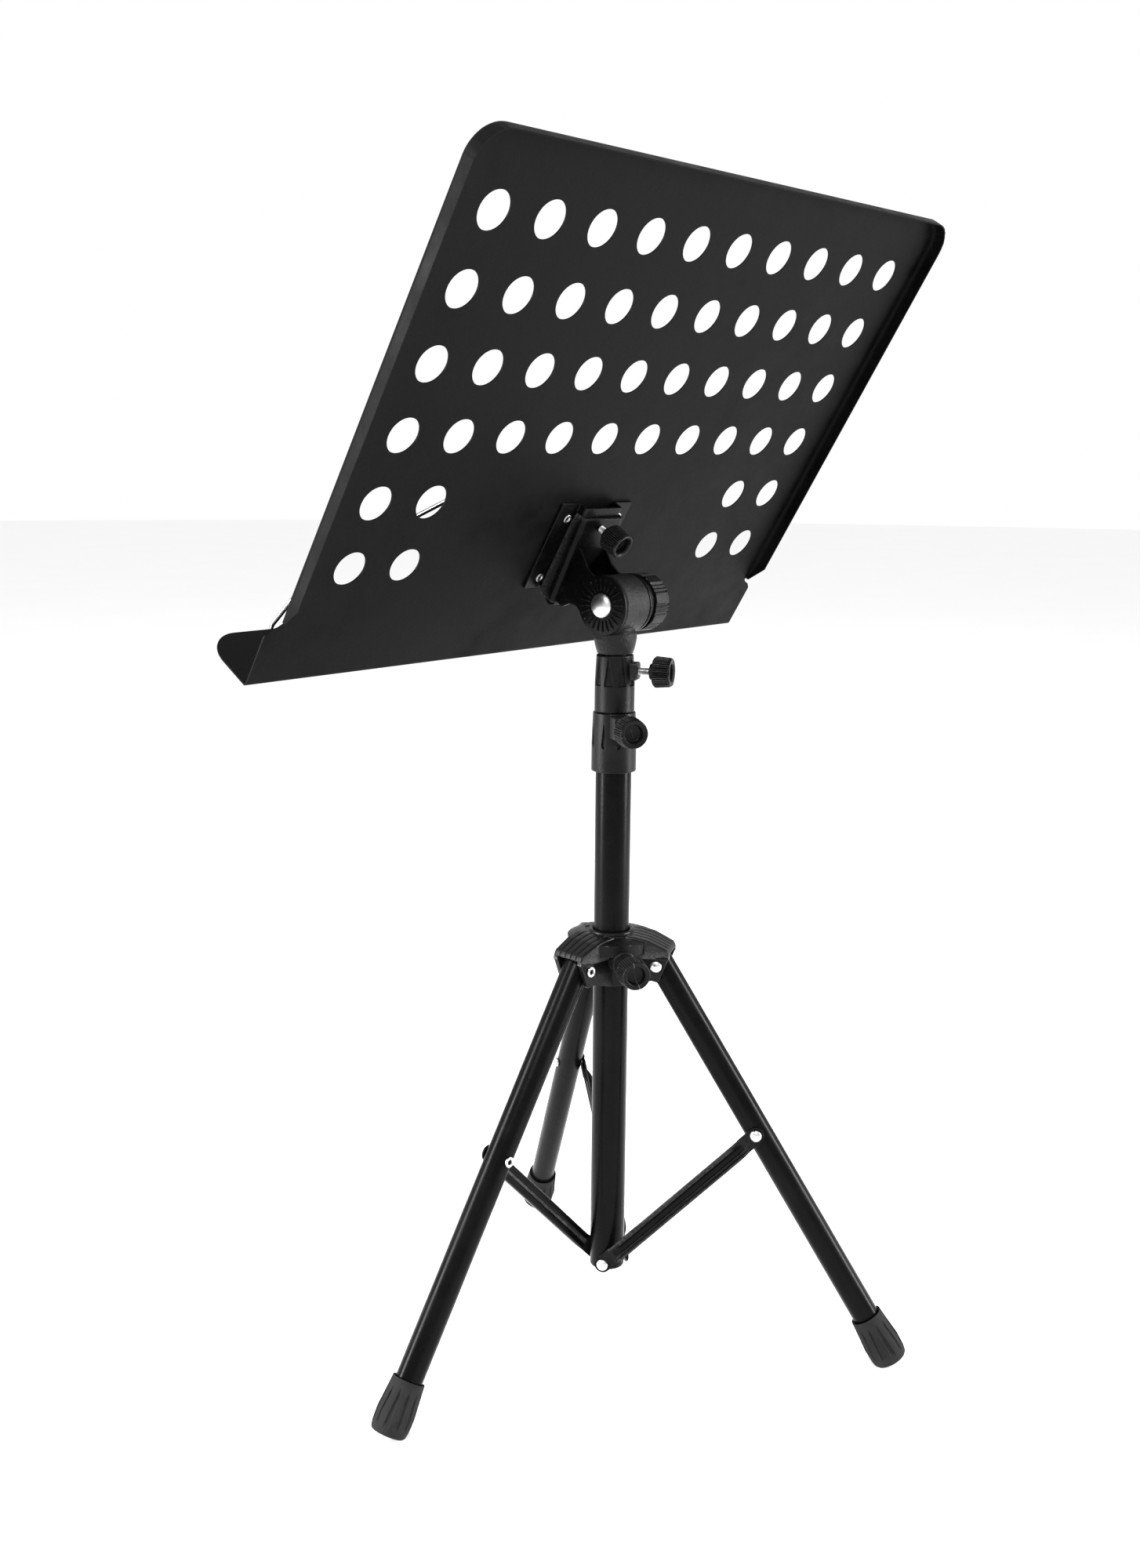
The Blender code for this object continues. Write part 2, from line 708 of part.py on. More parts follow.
def tilt_knob(tilt):
    start, end = TILT_KNOB_X
    washer_out = start - GAP
    ear = TILT_EAR[1] + GAP
    piece("tilt_washer", turned_x(
        [(SCREW_HOLE_R, ear), (WASHER_R, ear), (WASHER_R, washer_out), (SCREW_HOLE_R, washer_out)]
    ), tilt, BLACK_PLASTIC)
    nut_end = start + NUT_THICKNESS + 1.0
    outline = [
        (0.0, end - 6.0),
        (KNOB_BORE_R, end - 6.0),
        (KNOB_BORE_R, nut_end + GAP),
        (NUT_R + GAP, nut_end + GAP),
        (NUT_R + GAP, start),
        (17.0, start),
        (17.0, start + 3.0),
        (TILT_KNOB_R, start + 3.6),
        (TILT_KNOB_R, end - 1.2),
        (TILT_KNOB_R - 1.2, end),
        (0.0, end),
    ]
    piece("tilt_knob", turned_x(outline, 28), tilt, BLACK_PLASTIC)
    nut = prism(hexagon(NUT_R), start + 0.5, nut_end)
    nut.transform(TOWARD_MINUS_X)
    made = piece("tilt_knob_nut", nut, tilt, ZINC)
    cut(made, cylinder(SCREW_HOLE_R, start, nut_end + 1.0, TOWARD_MINUS_X, 14))


TOWARD_MINUS_X = about(-90, "Y")


def turned_x(outline, segments=24):
    return turned(outline, TOWARD_MINUS_X, segments)


# ---------------------------------------------------------------- desk


def rim_stations():
    """Where the folded rim's bend starts, left side, top and right side, each with its outward direction."""
    inset = DESK_HALF - RIM_BEND_R
    top = DESK_TOP - RIM_BEND_R
    corner = RIM_CORNER_R
    stations = [((-inset, RIM_END), 180.0), ((-inset, 0.0), 180.0)]
    for centre, start, end in (((corner - inset, top - corner), 180.0, 90.0), ((inset - corner, top - corner), 90.0, 0.0)):
        steps = 6
        for step, point in enumerate(arc(centre, corner, start, end, steps)):
            stations.append((point, start + (end - start) * step / steps))
    stations += [((inset, 0.0), 0.0), ((inset, RIM_END), 0.0)]
    return stations


def desk_surface():
    """The middle surface of the desk's sheet: plate, folded rim and shelf, in (x, up, forward)."""
    shape = bmesh.new()
    stations = rim_stations()
    lower = DESK_FOLD + FOLD_R
    left = [(-DESK_LOWER_HALF, lower), (-DESK_LOWER_HALF, SHOULDER - 4.0), (-DESK_LOWER_HALF + 2.6, SHOULDER - 1.0)]
    left += [(-DESK_HALF + 1.0, SHOULDER + 1.0), (-DESK_HALF + RIM_BEND_R - 0.5, SHOULDER + 3.0)]
    right = [(-x, y) for x, y in left[::-1]]
    left_verts = [shape.verts.new((x, y, 0.0)) for x, y in left]
    rim_verts = [shape.verts.new((point[0], point[1], 0.0)) for point, _ in stations]
    right_verts = [shape.verts.new((x, y, 0.0)) for x, y in right]
    shape.faces.new(left_verts + rim_verts + right_verts)
    add_rim(shape, stations, rim_verts)
    add_shelf(shape, left_verts[0], right_verts[-1])
    return shape


def add_rim(shape, stations, start_verts):
    """Sweeps the rim's section, a quarter bend and a straight edge, along its stations."""
    section = [(RIM_BEND_R * math.sin(radians(a)), RIM_BEND_R * (1 - math.cos(radians(a)))) for a in (30, 60, 90)]
    section.append((RIM_BEND_R, RIM_DEPTH))
    before = start_verts
    for reach, depth in section:
        row = []
        for (x, y), outward in stations:
            turn = radians(outward)
            row.append(shape.verts.new((x + reach * math.cos(turn), y + reach * math.sin(turn), -depth)))
        for step in range(len(row) - 1):
            shape.faces.new((before[step], before[step + 1], row[step + 1], row[step]))
        before = row


def shelf_point(across, out, above=0.0):
    """A point of the shelf, by its distance out from the fold and its height above the middle surface."""
    turn = radians(90.0 - SHELF_ANGLE)
    forward = out * math.cos(turn) - above * math.sin(turn)
    up = DESK_FOLD + out * math.sin(turn) + above * math.cos(turn)
    return Vector((across, up, forward))


def add_shelf(shape, left, right):
    """The bend under the plate and the flat shelf with its round outer corners."""
    start = FOLD_R
    middle_left = shape.verts.new((-DESK_LOWER_HALF, DESK_FOLD + 0.3 * FOLD_R, 0.3 * FOLD_R))
    middle_right = shape.verts.new((DESK_LOWER_HALF, DESK_FOLD + 0.3 * FOLD_R, 0.3 * FOLD_R))
    inner_left = shape.verts.new(shelf_point(-DESK_LOWER_HALF, start))
    inner_right = shape.verts.new(shelf_point(DESK_LOWER_HALF, start))
    shape.faces.new((left, right, middle_right, middle_left))
    shape.faces.new((middle_left, middle_right, inner_right, inner_left))
    corner = SHELF_CORNER_R
    edge = arc((DESK_LOWER_HALF - corner, SHELF_DEPTH - corner), corner, 0.0, 90.0, 6)
    outline = edge + [(-x, y) for x, y in edge[::-1]]
    verts = [shape.verts.new(shelf_point(x, y)) for x, y in outline]
    shape.faces.new([inner_right] + verts + [inner_left])


def hole_cutters():
    """A cylinder for each of the desk's round holes, for its rivets and for the page holders' wires."""
    shapes = []
    for row in range(HOLE_ROWS):
        for column in range(HOLE_COLUMNS):
            from_edge = min(column, HOLE_COLUMNS - 1 - column)
            if row < LOWER_ROWS and from_edge >= EDGE_COLUMNS:
                continue
            x = (column - 0.5 * (HOLE_COLUMNS - 1)) * HOLE_PITCH[0]
            y = (row - 0.5 * (HOLE_ROWS - 1)) * HOLE_PITCH[1]
            shapes.append(moved(cylinder(HOLE_R, -3.0, 3.0, segments=14), x, y))
    for x, y in rivet_places():
        shapes.append(moved(cylinder(RIVET_R, -3.0, 3.0, segments=10), x, y))
    for side in (-1, 1):
        turn = about(90.0 + 90.0 - SHELF_ANGLE - 180.0, "X")
        at = shelf_point(side * WIRE_PIVOT[0], WIRE_PIVOT[1])
        shapes.append(moved(cylinder(WIRE_HOLE_R, -3.0, 3.0, turn, 12), *at))
    return shapes


def rivet_places():
    return [(side * DESK_RIVET_X, y) for side in (-1, 1) for y in DESK_RIVET_Y]


def desk(desk_frame):
    obj = piece("desk", desk_surface(), desk_frame, BLACK_PAINT)
    thicken = obj.modifiers.new("sheet", "SOLIDIFY")
    thicken.thickness = SHEET * METRE
    thicken.offset = 0.0
    thicken.use_even_offset = True
    cut(obj, joined(hole_cutters()))


def desk_bracket(desk_frame):
    """The hat section riveted to the desk's back; its crown takes the tilt bracket's tongue."""
    low, high = HAT_Y
    base = 0.5 * SHEET + GAP
    wall = HAT_HALF - HAT_SHEET
    half = [
        (wall, HAT_CROWN - HAT_SHEET),
        (wall, base),
        (HAT_FLANGE_HALF, base),
        (HAT_FLANGE_HALF, base + HAT_SHEET),
        (HAT_HALF, base + HAT_SHEET),
        (HAT_HALF, HAT_CROWN),
    ]
    outline = [(x, -behind) for x, behind in half] + [(-x, -behind) for x, behind in half[::-1]]
    obj = piece("desk_bracket", prism(outline, low, high, "Y"), desk_frame, BLACK_PAINT)
    shapes = [moved(cylinder(RIVET_R, -5.0, 1.0, segments=10), x, y) for x, y in rivet_places()]
    cut(obj, joined(shapes))


def desk_rivet(number, desk_frame, x, y):
    """A tubular rivet: a flat head on the desk's front, a rolled end on the bracket's flange."""
    back = 0.5 * SHEET + HAT_SHEET + 2 * GAP
    front = 0.5 * SHEET + GAP
    outline = [
        (0.0, -1.0),
        (1.3, -1.0),
        (1.3, -back - 1.2),
        (3.35, -back - 1.2),
        (3.35, -back),
        (RIVET_R - GAP, -back),
        (RIVET_R - GAP, front),
        (3.6, front),
        (3.0, front + 0.7),
        (0.0, front + 0.7),
    ]
    piece(f"desk_rivet_{number}", moved(turned(outline, segments=10), x, y), desk_frame, ZINC)


def rounded(points, radius, steps=3):
    """A polyline with each inner corner replaced by an arc of about the given radius."""
    made = [points[0]]
    for before, corner, after in zip(points, points[1:], points[2:]):
        back = (before - corner).normalized()
        ahead = (after - corner).normalized()
        half = 0.5 * back.angle(ahead)
        reach = min(radius / math.tan(half), 0.45 * (before - corner).length, 0.45 * (after - corner).length)
        start = corner + back * reach
        end = corner + ahead * reach
        for step in range(steps + 1):
            share = step / steps
            made.append(start.lerp(corner, share).lerp(corner.lerp(end, share), share))
    made.append(points[-1])
    return made


def wire_route(side):
    """The wire from its tip above the shelf, under the shelf's edge and up across the desk's front."""
    x, out = WIRE_PIVOT
    under = -0.5 * SHEET - WIRE_R - 1.0
    beyond = SHELF_DEPTH + WIRE_R + GAP
    shape = [
        shelf_point(x, out, 3.0),
        shelf_point(x, out, under),
        shelf_point(x - 11.5, beyond, under),
        shelf_point(x - 11.0, beyond, 2.6),
        Vector((181.4, -146.3, 47.0)),
        Vector((99.0, -49.6, 5.5)),
    ]
    return [Vector((side * point.x, point.y, point.z)) for point in shape]


def page_holder(name, desk_frame, side):
    """A bent wire that turns in a hole of the shelf; its own frame stands in that hole."""
    place = shelf_point(side * WIRE_PIVOT[0], WIRE_PIVOT[1])
    pivot = frame(f"{name}_frame", desk_frame, place)
    wire = bpy.data.curves.new(name, "CURVE")
    wire.dimensions = "3D"
    wire.bevel_depth = WIRE_R * METRE
    wire.bevel_resolution = 2
    wire.use_fill_caps = True
    points = rounded(wire_route(side), 3.0)
    spline = wire.splines.new("POLY")
    spline.points.add(len(points) - 1)
    for target, point in zip(spline.points, points):
        target.co = (*((point - place) * METRE), 1.0)
    obj = link(name, wire, pivot)
    wire.materials.append(material(name, CHROME))
    return obj


# ---------------------------------------------------------------- the whole stand


def stand_lift():
    """How far the datum lies above the floor, so that the feet's lowest edges touch it."""
    slope = radians(LEG_SLOPE)
    foot_z = APEX_Z - FOOT_END * math.cos(slope)
    return -(foot_z - (FOOT_END_R - 1.0) * math.sin(slope))


def build():
    clear_scene()
    bpy.context.scene.unit_settings.scale_length = 1.0
    mast = frame("mast_frame", None, (0.0, MAST_Y, stand_lift()))
    lower_tube(mast)
    mast_end_cap(mast)
    lower_clutch(mast)
    middle_tube(mast)
    bush("middle_tube_bush", mast, MIDDLE_TUBE_R, LOWER_TUBE_R - TUBE_WALL - 0.15, 5.0, MIDDLE_TUBE_Z[0])
    upper_clutch(mast)
    top_tube(mast)
    bush("top_tube_bush", mast, TOP_TUBE_R, MIDDLE_TUBE_R - TUBE_WALL - 0.15, 4.0, TOP_TUBE_Z[0])
    tilt_head(mast)
    tripod(mast)
    tilt = frame("tilt_frame", mast, (0.0, 0.0, TILT_Z), (90.0 - LEAN, 0.0, 0.0))
    tilt_bracket(tilt)
    tilt_bolt(tilt)
    tilt_knob(tilt)
    desk_frame = frame("desk_frame", tilt, (0.0, -AXIS_UP_THE_DESK, AXIS_BEHIND_DESK))
    screw_frame = frame("desk_screw_frame", desk_frame, (0.0, DESK_SCREW_Y, 0.0), (180.0, 0.0, 0.0))
    thumb_screw("desk", screw_frame, HAT_CROWN + GAP, DESK_KNOB, DESK_KNOB_R)
    desk(desk_frame)
    desk_bracket(desk_frame)
    for number, (x, y) in enumerate(rivet_places(), start=1):
        desk_rivet(number, desk_frame, x, y)
    page_holder("page_holder_left", desk_frame, -1)
    page_holder("page_holder_right", desk_frame, 1)


build()
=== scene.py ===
"""The looks of a folding orchestral music stand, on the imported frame.

Each piece is drawn in millimetres in its own frame and placed in world metres. The musician is
on -Y. Outlines are lists of (radius, height) or (u, v), and a third number rounds that corner.
"""

import json
import math

import bmesh
import bpy
from mathutils import Matrix, Vector


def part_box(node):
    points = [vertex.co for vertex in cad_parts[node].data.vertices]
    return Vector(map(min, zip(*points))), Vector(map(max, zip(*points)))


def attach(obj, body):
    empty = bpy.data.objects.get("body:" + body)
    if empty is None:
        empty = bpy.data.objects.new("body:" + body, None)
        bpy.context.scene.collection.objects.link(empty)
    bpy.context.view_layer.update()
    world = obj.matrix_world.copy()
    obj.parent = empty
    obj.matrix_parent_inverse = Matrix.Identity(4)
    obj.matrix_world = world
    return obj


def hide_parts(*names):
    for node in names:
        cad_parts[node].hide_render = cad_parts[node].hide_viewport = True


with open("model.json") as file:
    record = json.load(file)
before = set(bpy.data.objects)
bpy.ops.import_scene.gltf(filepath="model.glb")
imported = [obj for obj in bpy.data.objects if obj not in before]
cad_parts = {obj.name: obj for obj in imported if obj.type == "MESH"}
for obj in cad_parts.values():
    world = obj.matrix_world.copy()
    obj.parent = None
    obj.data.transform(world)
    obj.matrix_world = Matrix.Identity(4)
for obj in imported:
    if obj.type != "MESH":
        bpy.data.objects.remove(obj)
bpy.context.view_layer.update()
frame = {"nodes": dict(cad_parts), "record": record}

MM = 0.001
GAP = 0.3

# Millimetres and degrees. Heights of the mast and tripod are in the mast's frame, and FOOT_TOP and
# FOOT_END are measured down a leg from where the legs' axes meet. The desk's own numbers are in
# its frame, with X across it, Y up it and Z out of its front.
LEG_AZIMUTHS = (355.44, 115.44, 235.44)
LEG_SLOPE = 31.756
APEX_Z = 342.1
LEG_PIVOT_R = 35.4
FOOT_TOP = 363.0
FOOT_END = 398.5
BRACE_PIVOT_DROP = 140.0
MAST_PIVOT_Z = 53.9
HUB_AZIMUTH = 55.44
TILT_Z = 536.1
LEAN = 31.08
AXIS_UP_THE_DESK = -121.1
AXIS_BEHIND_DESK = 50.9
DESK_HALF = 246.0
DESK_LOWER_HALF = 254.6
DESK_TOP = 160.5
DESK_FOLD = -196.1
RIM_DEPTH = 10.3
RIM_BEND = 3.5
RIM_CORNER = 17.5
RIM_END = -150.0
SHELF_ANGLE = 87.4
SHELF_DEPTH = 48.4
FOLD_R = 2.0
DESK_SCREW_Y = -85.0
RIVET_X = 27.0
RIVET_Y = (-130.0, -82.7)
HOLE_PITCH = (46.0, 45.65)
HOLE_R = 11.85
WIRE_HOLE_R = 1.9
WIRE_R = 1.5
WIRE_PIVOT = (209.5, 38.0)
WIRE_SIDES = 20

LOWER_TUBE_R = 12.5
MIDDLE_TUBE_R = 11.0
TOP_TUBE_R = 9.5
LEG_R = 9.5
TUBE_WALL = 1.0
MAST_FOOT_Z = 51.1
BRACE_SHEET = 1.5
BRACE_OFF_MAST = 1.0
BRACE_EYE_R = 6.0
BRACE_EYE_REACH = 13.0

SCREW_R = 2.5
SCREW_PITCH = 0.8
GRIP_BORE_R = 2.75
KNURL_TEETH = 40
KNURL_DEPTH = 0.95
FOOT_GROOVES = 12
FLUTES = 9
EAR_RIDGES = 24
HUB_RIDGES = 5
HUB_SCREW_Z = 289.2
PIN_HEAD_R = 4.3
PIN_HEAD_HEIGHT = 2.2
PIN_R = 2.5
EAR_INSIDE = 12.7
EAR_OUTSIDE = 15.0

BODY_OF = {}
for body_name, members in frame["record"]["behaviour"]["bodies"].items():
    BODY_OF.update(dict.fromkeys(members, body_name))


# ---------------------------------------------------------------- frames


def shifted(x=0.0, y=0.0, z=0.0):
    return Matrix.Translation((x, y, z))


def about(degrees, axis):
    return Matrix.Rotation(math.radians(degrees), 4, axis)


ALONG_X = about(90, "Y")
ALONG_Y = about(-90, "X")
TOWARD_MINUS_X = about(-90, "Y")

tube_low, tube_high = [Vector(corner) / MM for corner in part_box("lower_tube")]
MAST = shifted(
    0.5 * (tube_low.x + tube_high.x), 0.5 * (tube_low.y + tube_high.y), tube_low.z - MAST_FOOT_Z
)
TILT = MAST @ shifted(z=TILT_Z) @ about(90.0 - LEAN, "X")
DESK = TILT @ shifted(0.0, -AXIS_UP_THE_DESK, AXIS_BEHIND_DESK)
DESK_SCREW = DESK @ shifted(y=DESK_SCREW_Y) @ about(180, "X")


def outward(azimuth, height):
    """A frame on the mast's axis whose Z points out along an azimuth."""
    return MAST @ shifted(z=height) @ about(azimuth, "Z") @ about(90, "Y")


def leg_pivot(azimuth):
    height = APEX_Z - LEG_PIVOT_R / math.tan(math.radians(LEG_SLOPE))
    return MAST @ about(azimuth, "Z") @ shifted(LEG_PIVOT_R, 0.0, height)


# ---------------------------------------------------------------- shapes


def soft(points, radius, closed=False, steps=4):
    """A polyline with its corners rounded; a point may carry a radius of its own."""
    made = []
    count = len(points)
    for index, point in enumerate(points):
        here = Vector(point[:2])
        bend = point[2] if len(point) > 2 else radius
        if bend <= 0.0 or (not closed and index in (0, count - 1)):
            made.append(tuple(here))
            continue
        back = Vector(points[index - 1][:2]) - here
        ahead = Vector(points[(index + 1) % count][:2]) - here
        half = 0.5 * back.angle(ahead)
        reach = min(bend / max(math.tan(half), 0.05), 0.45 * back.length, 0.45 * ahead.length)
        start = here + back.normalized() * reach
        end = here + ahead.normalized() * reach
        for step in range(steps + 1):
            share = step / steps
            spot = start.lerp(here, share).lerp(here.lerp(end, share), share)
            made.append(tuple(spot))
    return made


def dense(points, longest):
    """A polyline with its long stretches divided."""
    made = []
    for start, end in zip(points, points[1:]):
        reach = math.dist(start, end)
        steps = max(1, math.ceil(reach / longest))
        for step in range(steps):
            share = step / steps
            made.append(tuple(a + (b - a) * share for a, b in zip(start, end)))
    made.append(points[-1])
    return made


def lathe(outline, segments=96, relief=None, turn=None):
    """A solid turned about Z; relief(angle, radius, height) moves its surface in or out."""
    shape = bmesh.new()
    rings = []
    for radius, height in outline:
        if radius < 1e-6:
            rings.append([shape.verts.new((0.0, 0.0, height))])
            continue
        ring = []
        for step in range(segments):
            angle = 2 * math.pi * step / segments
            reach = radius + (relief(angle, radius, height) if relief else 0.0)
            ring.append(shape.verts.new((reach * math.cos(angle), reach * math.sin(angle), height)))
        rings.append(ring)
    pairs = list(zip(rings, rings[1:]))
    if len(rings[0]) > 1:
        pairs.append((rings[-1], rings[0]))
    for low, high in pairs:
        for step in range(segments):
            after = (step + 1) % segments
            corners = [low[step % len(low)], low[after % len(low)]]
            corners += [high[after % len(high)], high[step % len(high)]]
            corners = list(dict.fromkeys(corners))
            if len(corners) > 2:
                shape.faces.new(corners)
    if turn is not None:
        shape.transform(turn)
    return shape


SHARP_EDGE = math.radians(30)
PLACES = {
    "Z": lambda u, v, w: (u, v, w),
    "Y": lambda u, v, w: (u, w, v),
    "X": lambda u, v, w: (w, u, v),
}


def slab(outline, low, high, axis, bevel):
    """An outline extruded along an axis, with its sharp edges rounded."""
    place = PLACES[axis]
    shape = loft([[place(u, v, level) for u, v in outline] for level in sorted((low, high))])
    bmesh.ops.recalc_face_normals(shape, faces=shape.faces)
    edges = [edge for edge in shape.edges if edge.calc_face_angle(0.0) > SHARP_EDGE]
    bmesh.ops.bevel(shape, geom=edges, offset=bevel, segments=2, profile=0.6, affect="EDGES")
    return shape


def loft(sections):
    """A closed skin through closed sections of equal length."""
    shape = bmesh.new()
    rows = [[shape.verts.new(point) for point in section] for section in sections]
    for before, after in zip(rows, rows[1:]):
        for step in range(len(before)):
            follow = (step + 1) % len(before)
            shape.faces.new((before[step], before[follow], after[follow], after[step]))
    shape.faces.new(rows[0][::-1])
    shape.faces.new(rows[-1])
    return shape


def joined(shapes):
    whole = bmesh.new()
    for shape in shapes:
        part = bpy.data.meshes.new("part")
        shape.to_mesh(part)
        shape.free()
        whole.from_mesh(part)
        bpy.data.meshes.remove(part)
    return whole


def turned(shape, turn):
    shape.transform(turn)
    return shape


def ribbon(line, half_thick):
    """A closed strip of even thickness along an open line."""
    line = [Vector(point) for point in line]
    outer = []
    inner = []
    for index, point in enumerate(line):
        before = line[max(0, index - 1)]
        after = line[min(len(line) - 1, index + 1)]
        along = (after - before).normalized()
        side = Vector((-along.y, along.x)) * half_thick
        outer.append(point + side)
        inner.append(point - side)
    return outer + inner[::-1]


def rectangle(half_u, half_v):
    return [(-half_u, -half_v), (half_u, -half_v), (half_u, half_v), (-half_u, half_v)]


def arc(centre, radius, start, end, steps):
    points = []
    for step in range(steps + 1):
        angle = math.radians(start + (end - start) * step / steps)
        points.append((centre[0] + radius * math.cos(angle), centre[1] + radius * math.sin(angle)))
    return points


def dome(radius, height, base, outwards, steps=8):
    """A domed head's outline, from its crown on the axis down to its rim."""
    points = [(0.0, base + outwards * height)]
    for step in range(steps - 1, -1, -1):
        angle = 0.5 * math.pi * step / steps
        points.append((radius * math.cos(angle), base + outwards * height * math.sin(angle)))
    return points


# ---------------------------------------------------------------- finishes


def node_of(tree, kind, **values):
    made = tree.nodes.new(kind)
    for key, value in values.items():
        setattr(made, key, value)
    return made


def noise_of(tree, where, scale, detail=3.0, rough=0.5):
    noise = node_of(tree, "ShaderNodeTexNoise")
    noise.inputs["Scale"].default_value = scale
    noise.inputs["Detail"].default_value = detail
    noise.inputs["Roughness"].default_value = rough
    tree.links.new(where, noise.inputs["Vector"])
    return noise.outputs["Fac"]


def mapped(tree, value, low, high, to_low, to_high):
    span = node_of(tree, "ShaderNodeMapRange")
    for index, number in enumerate((low, high, to_low, to_high), start=1):
        span.inputs[index].default_value = number
    tree.links.new(value, span.inputs[0])
    return span.outputs[0]


def mixed(tree, share, first, second):
    """Mixes two colours, each given as numbers or as a socket."""
    mix = node_of(tree, "ShaderNodeMix", data_type="RGBA")
    tree.links.new(share, mix.inputs[0])
    for socket, value in ((mix.inputs[6], first), (mix.inputs[7], second)):
        if isinstance(value, tuple):
            socket.default_value = (*value, 1.0)
        else:
            tree.links.new(value, socket)
    return mix.outputs[2]


BLOTCHES_PER_METRE = 38.0
# Pointiness over which edges are painted lighter, partly as wear and partly as a painted edge
# highlight.
WORN_AND_HIGHLIT_EDGE_POINTINESS = (0.54, 0.64)
ROUGHNESS_SPREAD = 0.22


def finish(name, dark, light, roughness, grain, edge_wear_and_highlight, metallic=0.0, specular=0.5):
    """A surface with fine grain, slow blotches, and edges painted lighter, partly as wear and
    partly as a painted highlight where light would catch them.

    The blotches vary its colour from dark to light, and its roughness. grain is (features per
    metre, height in metres, coarser features per metre, their height), and edge_wear_and_highlight
    is (the lighter colour painted on edges, part wear and part painted highlight, how much of an
    edge it takes).
    """
    made = bpy.data.materials.new(name)
    made.use_nodes = True
    tree = made.node_tree
    shader = tree.nodes["Principled BSDF"]
    place = node_of(tree, "ShaderNodeTexCoord").outputs["Object"]
    fine = noise_of(tree, place, grain[0])
    coarse = noise_of(tree, place, grain[2], 4.0, 0.6)
    blotch = noise_of(tree, place, BLOTCHES_PER_METRE, 5.0, 0.65)
    colour = mixed(tree, mapped(tree, blotch, 0.35, 0.65, 0.0, 1.0), dark, light)
    # Sharp edges, found by pointiness, get a lighter colour: partly wear, partly a painted
    # highlight where light would catch them.
    point = node_of(tree, "ShaderNodeNewGeometry").outputs["Pointiness"]
    worn_and_highlit_edge = node_of(tree, "ShaderNodeMath", operation="MULTIPLY")
    tree.links.new(mapped(tree, point, *WORN_AND_HIGHLIT_EDGE_POINTINESS, 0.0, 1.0), worn_and_highlit_edge.inputs[0])
    tree.links.new(mapped(tree, coarse, 0.35, 0.7, 0.25 * edge_wear_and_highlight[1], edge_wear_and_highlight[1]), worn_and_highlit_edge.inputs[1])
    tree.links.new(mixed(tree, worn_and_highlit_edge.outputs[0], colour, edge_wear_and_highlight[0]), shader.inputs["Base Color"])
    spread = ROUGHNESS_SPREAD * roughness
    rough = mapped(tree, blotch, 0.3, 0.7, roughness - spread, roughness + spread)
    tree.links.new(rough, shader.inputs["Roughness"])
    ripple = node_of(tree, "ShaderNodeBump")
    ripple.inputs["Distance"].default_value = grain[3]
    tree.links.new(coarse, ripple.inputs["Height"])
    bump = node_of(tree, "ShaderNodeBump")
    bump.inputs["Distance"].default_value = grain[1]
    tree.links.new(fine, bump.inputs["Height"])
    tree.links.new(ripple.outputs[0], bump.inputs["Normal"])
    tree.links.new(bump.outputs[0], shader.inputs["Normal"])
    shader.inputs["Metallic"].default_value = metallic
    shader.inputs["Specular IOR Level"].default_value = specular
    return made


# The last colour in each finish is painted onto its sharp edges, partly as wear and partly as a
# painted highlight.
FINISHES = {
    "powder_coat": finish(
        "powder_coat", (0.0010, 0.0010, 0.0011), (0.0020, 0.0020, 0.0021), 0.27,
        (1700.0, 0.000025, 420.0, 0.00004), ((0.16, 0.16, 0.163), 0.35), specular=0.055,
    ),
    "plate_coat": finish(
        "plate_coat", (0.0016, 0.0016, 0.0017), (0.0030, 0.0030, 0.0031), 0.46,
        (1700.0, 0.00005, 420.0, 0.00010), ((0.09, 0.09, 0.092), 0.0), specular=0.03,
    ),
    "black_nylon": finish(
        "black_nylon", (0.0016, 0.0016, 0.0017), (0.0042, 0.0042, 0.0043), 0.30,
        (2300.0, 0.00009, 700.0, 0.00012), ((0.20, 0.20, 0.20), 0.6), specular=0.10,
    ),
    "cast_barrel": finish(
        "cast_barrel", (0.0014, 0.0014, 0.0015), (0.0080, 0.0080, 0.0082), 0.34,
        (1300.0, 0.00030, 420.0, 0.00060), ((0.24, 0.24, 0.24), 0.6), specular=0.10,
    ),
    "foot_rubber": finish(
        "foot_rubber", (0.008, 0.008, 0.008), (0.016, 0.016, 0.016), 0.72,
        (1900.0, 0.00012, 300.0, 0.00015), ((0.06, 0.06, 0.06), 0.7), specular=0.08,
    ),
    "chrome_plate": finish(
        "chrome_plate", (0.46, 0.46, 0.47), (0.62, 0.62, 0.63), 0.30,
        (900.0, 0.00002, 260.0, 0.00002), ((0.85, 0.85, 0.86), 0.5), metallic=1.0,
    ),
    "wire_plate": finish(
        "wire_plate", (0.20, 0.20, 0.205), (0.30, 0.30, 0.305), 0.24,
        (900.0, 0.00003, 260.0, 0.00006), ((0.5, 0.5, 0.5), 0.4), metallic=1.0,
    ),
    "zinc_plate": finish(
        "zinc_plate", (0.26, 0.26, 0.27), (0.40, 0.40, 0.41), 0.32,
        (1600.0, 0.00005, 500.0, 0.00006), ((0.75, 0.75, 0.76), 0.5), metallic=1.0,
    ),
}


def piece(name, shape, place, finish_name, node, *others, sharp=32):
    """A finished mesh in world metres that stands for CAD nodes and rides on their body."""
    bmesh.ops.recalc_face_normals(shape, faces=shape.faces)
    shape.transform(Matrix.Scale(MM, 4) @ place)
    mesh = bpy.data.meshes.new(name)
    shape.to_mesh(mesh)
    shape.free()
    mesh.shade_smooth()
    mesh.set_sharp_from_angle(angle=math.radians(sharp))
    obj = bpy.data.objects.new(name, mesh)
    bpy.context.scene.collection.objects.link(obj)
    obj.data.materials.append(FINISHES[finish_name])
    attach(obj, BODY_OF[node])
    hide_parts(node, *others)
    return obj


# ---------------------------------------------------------------- mast tubes and clutches


def tube(name, outer, low, high, node):
    inner = outer - TUBE_WALL
    loop = [(inner, low), (outer, low), (outer, high), (inner, high)]
    piece(name, lathe(soft(loop, 0.3, True)), MAST, "powder_coat", node)


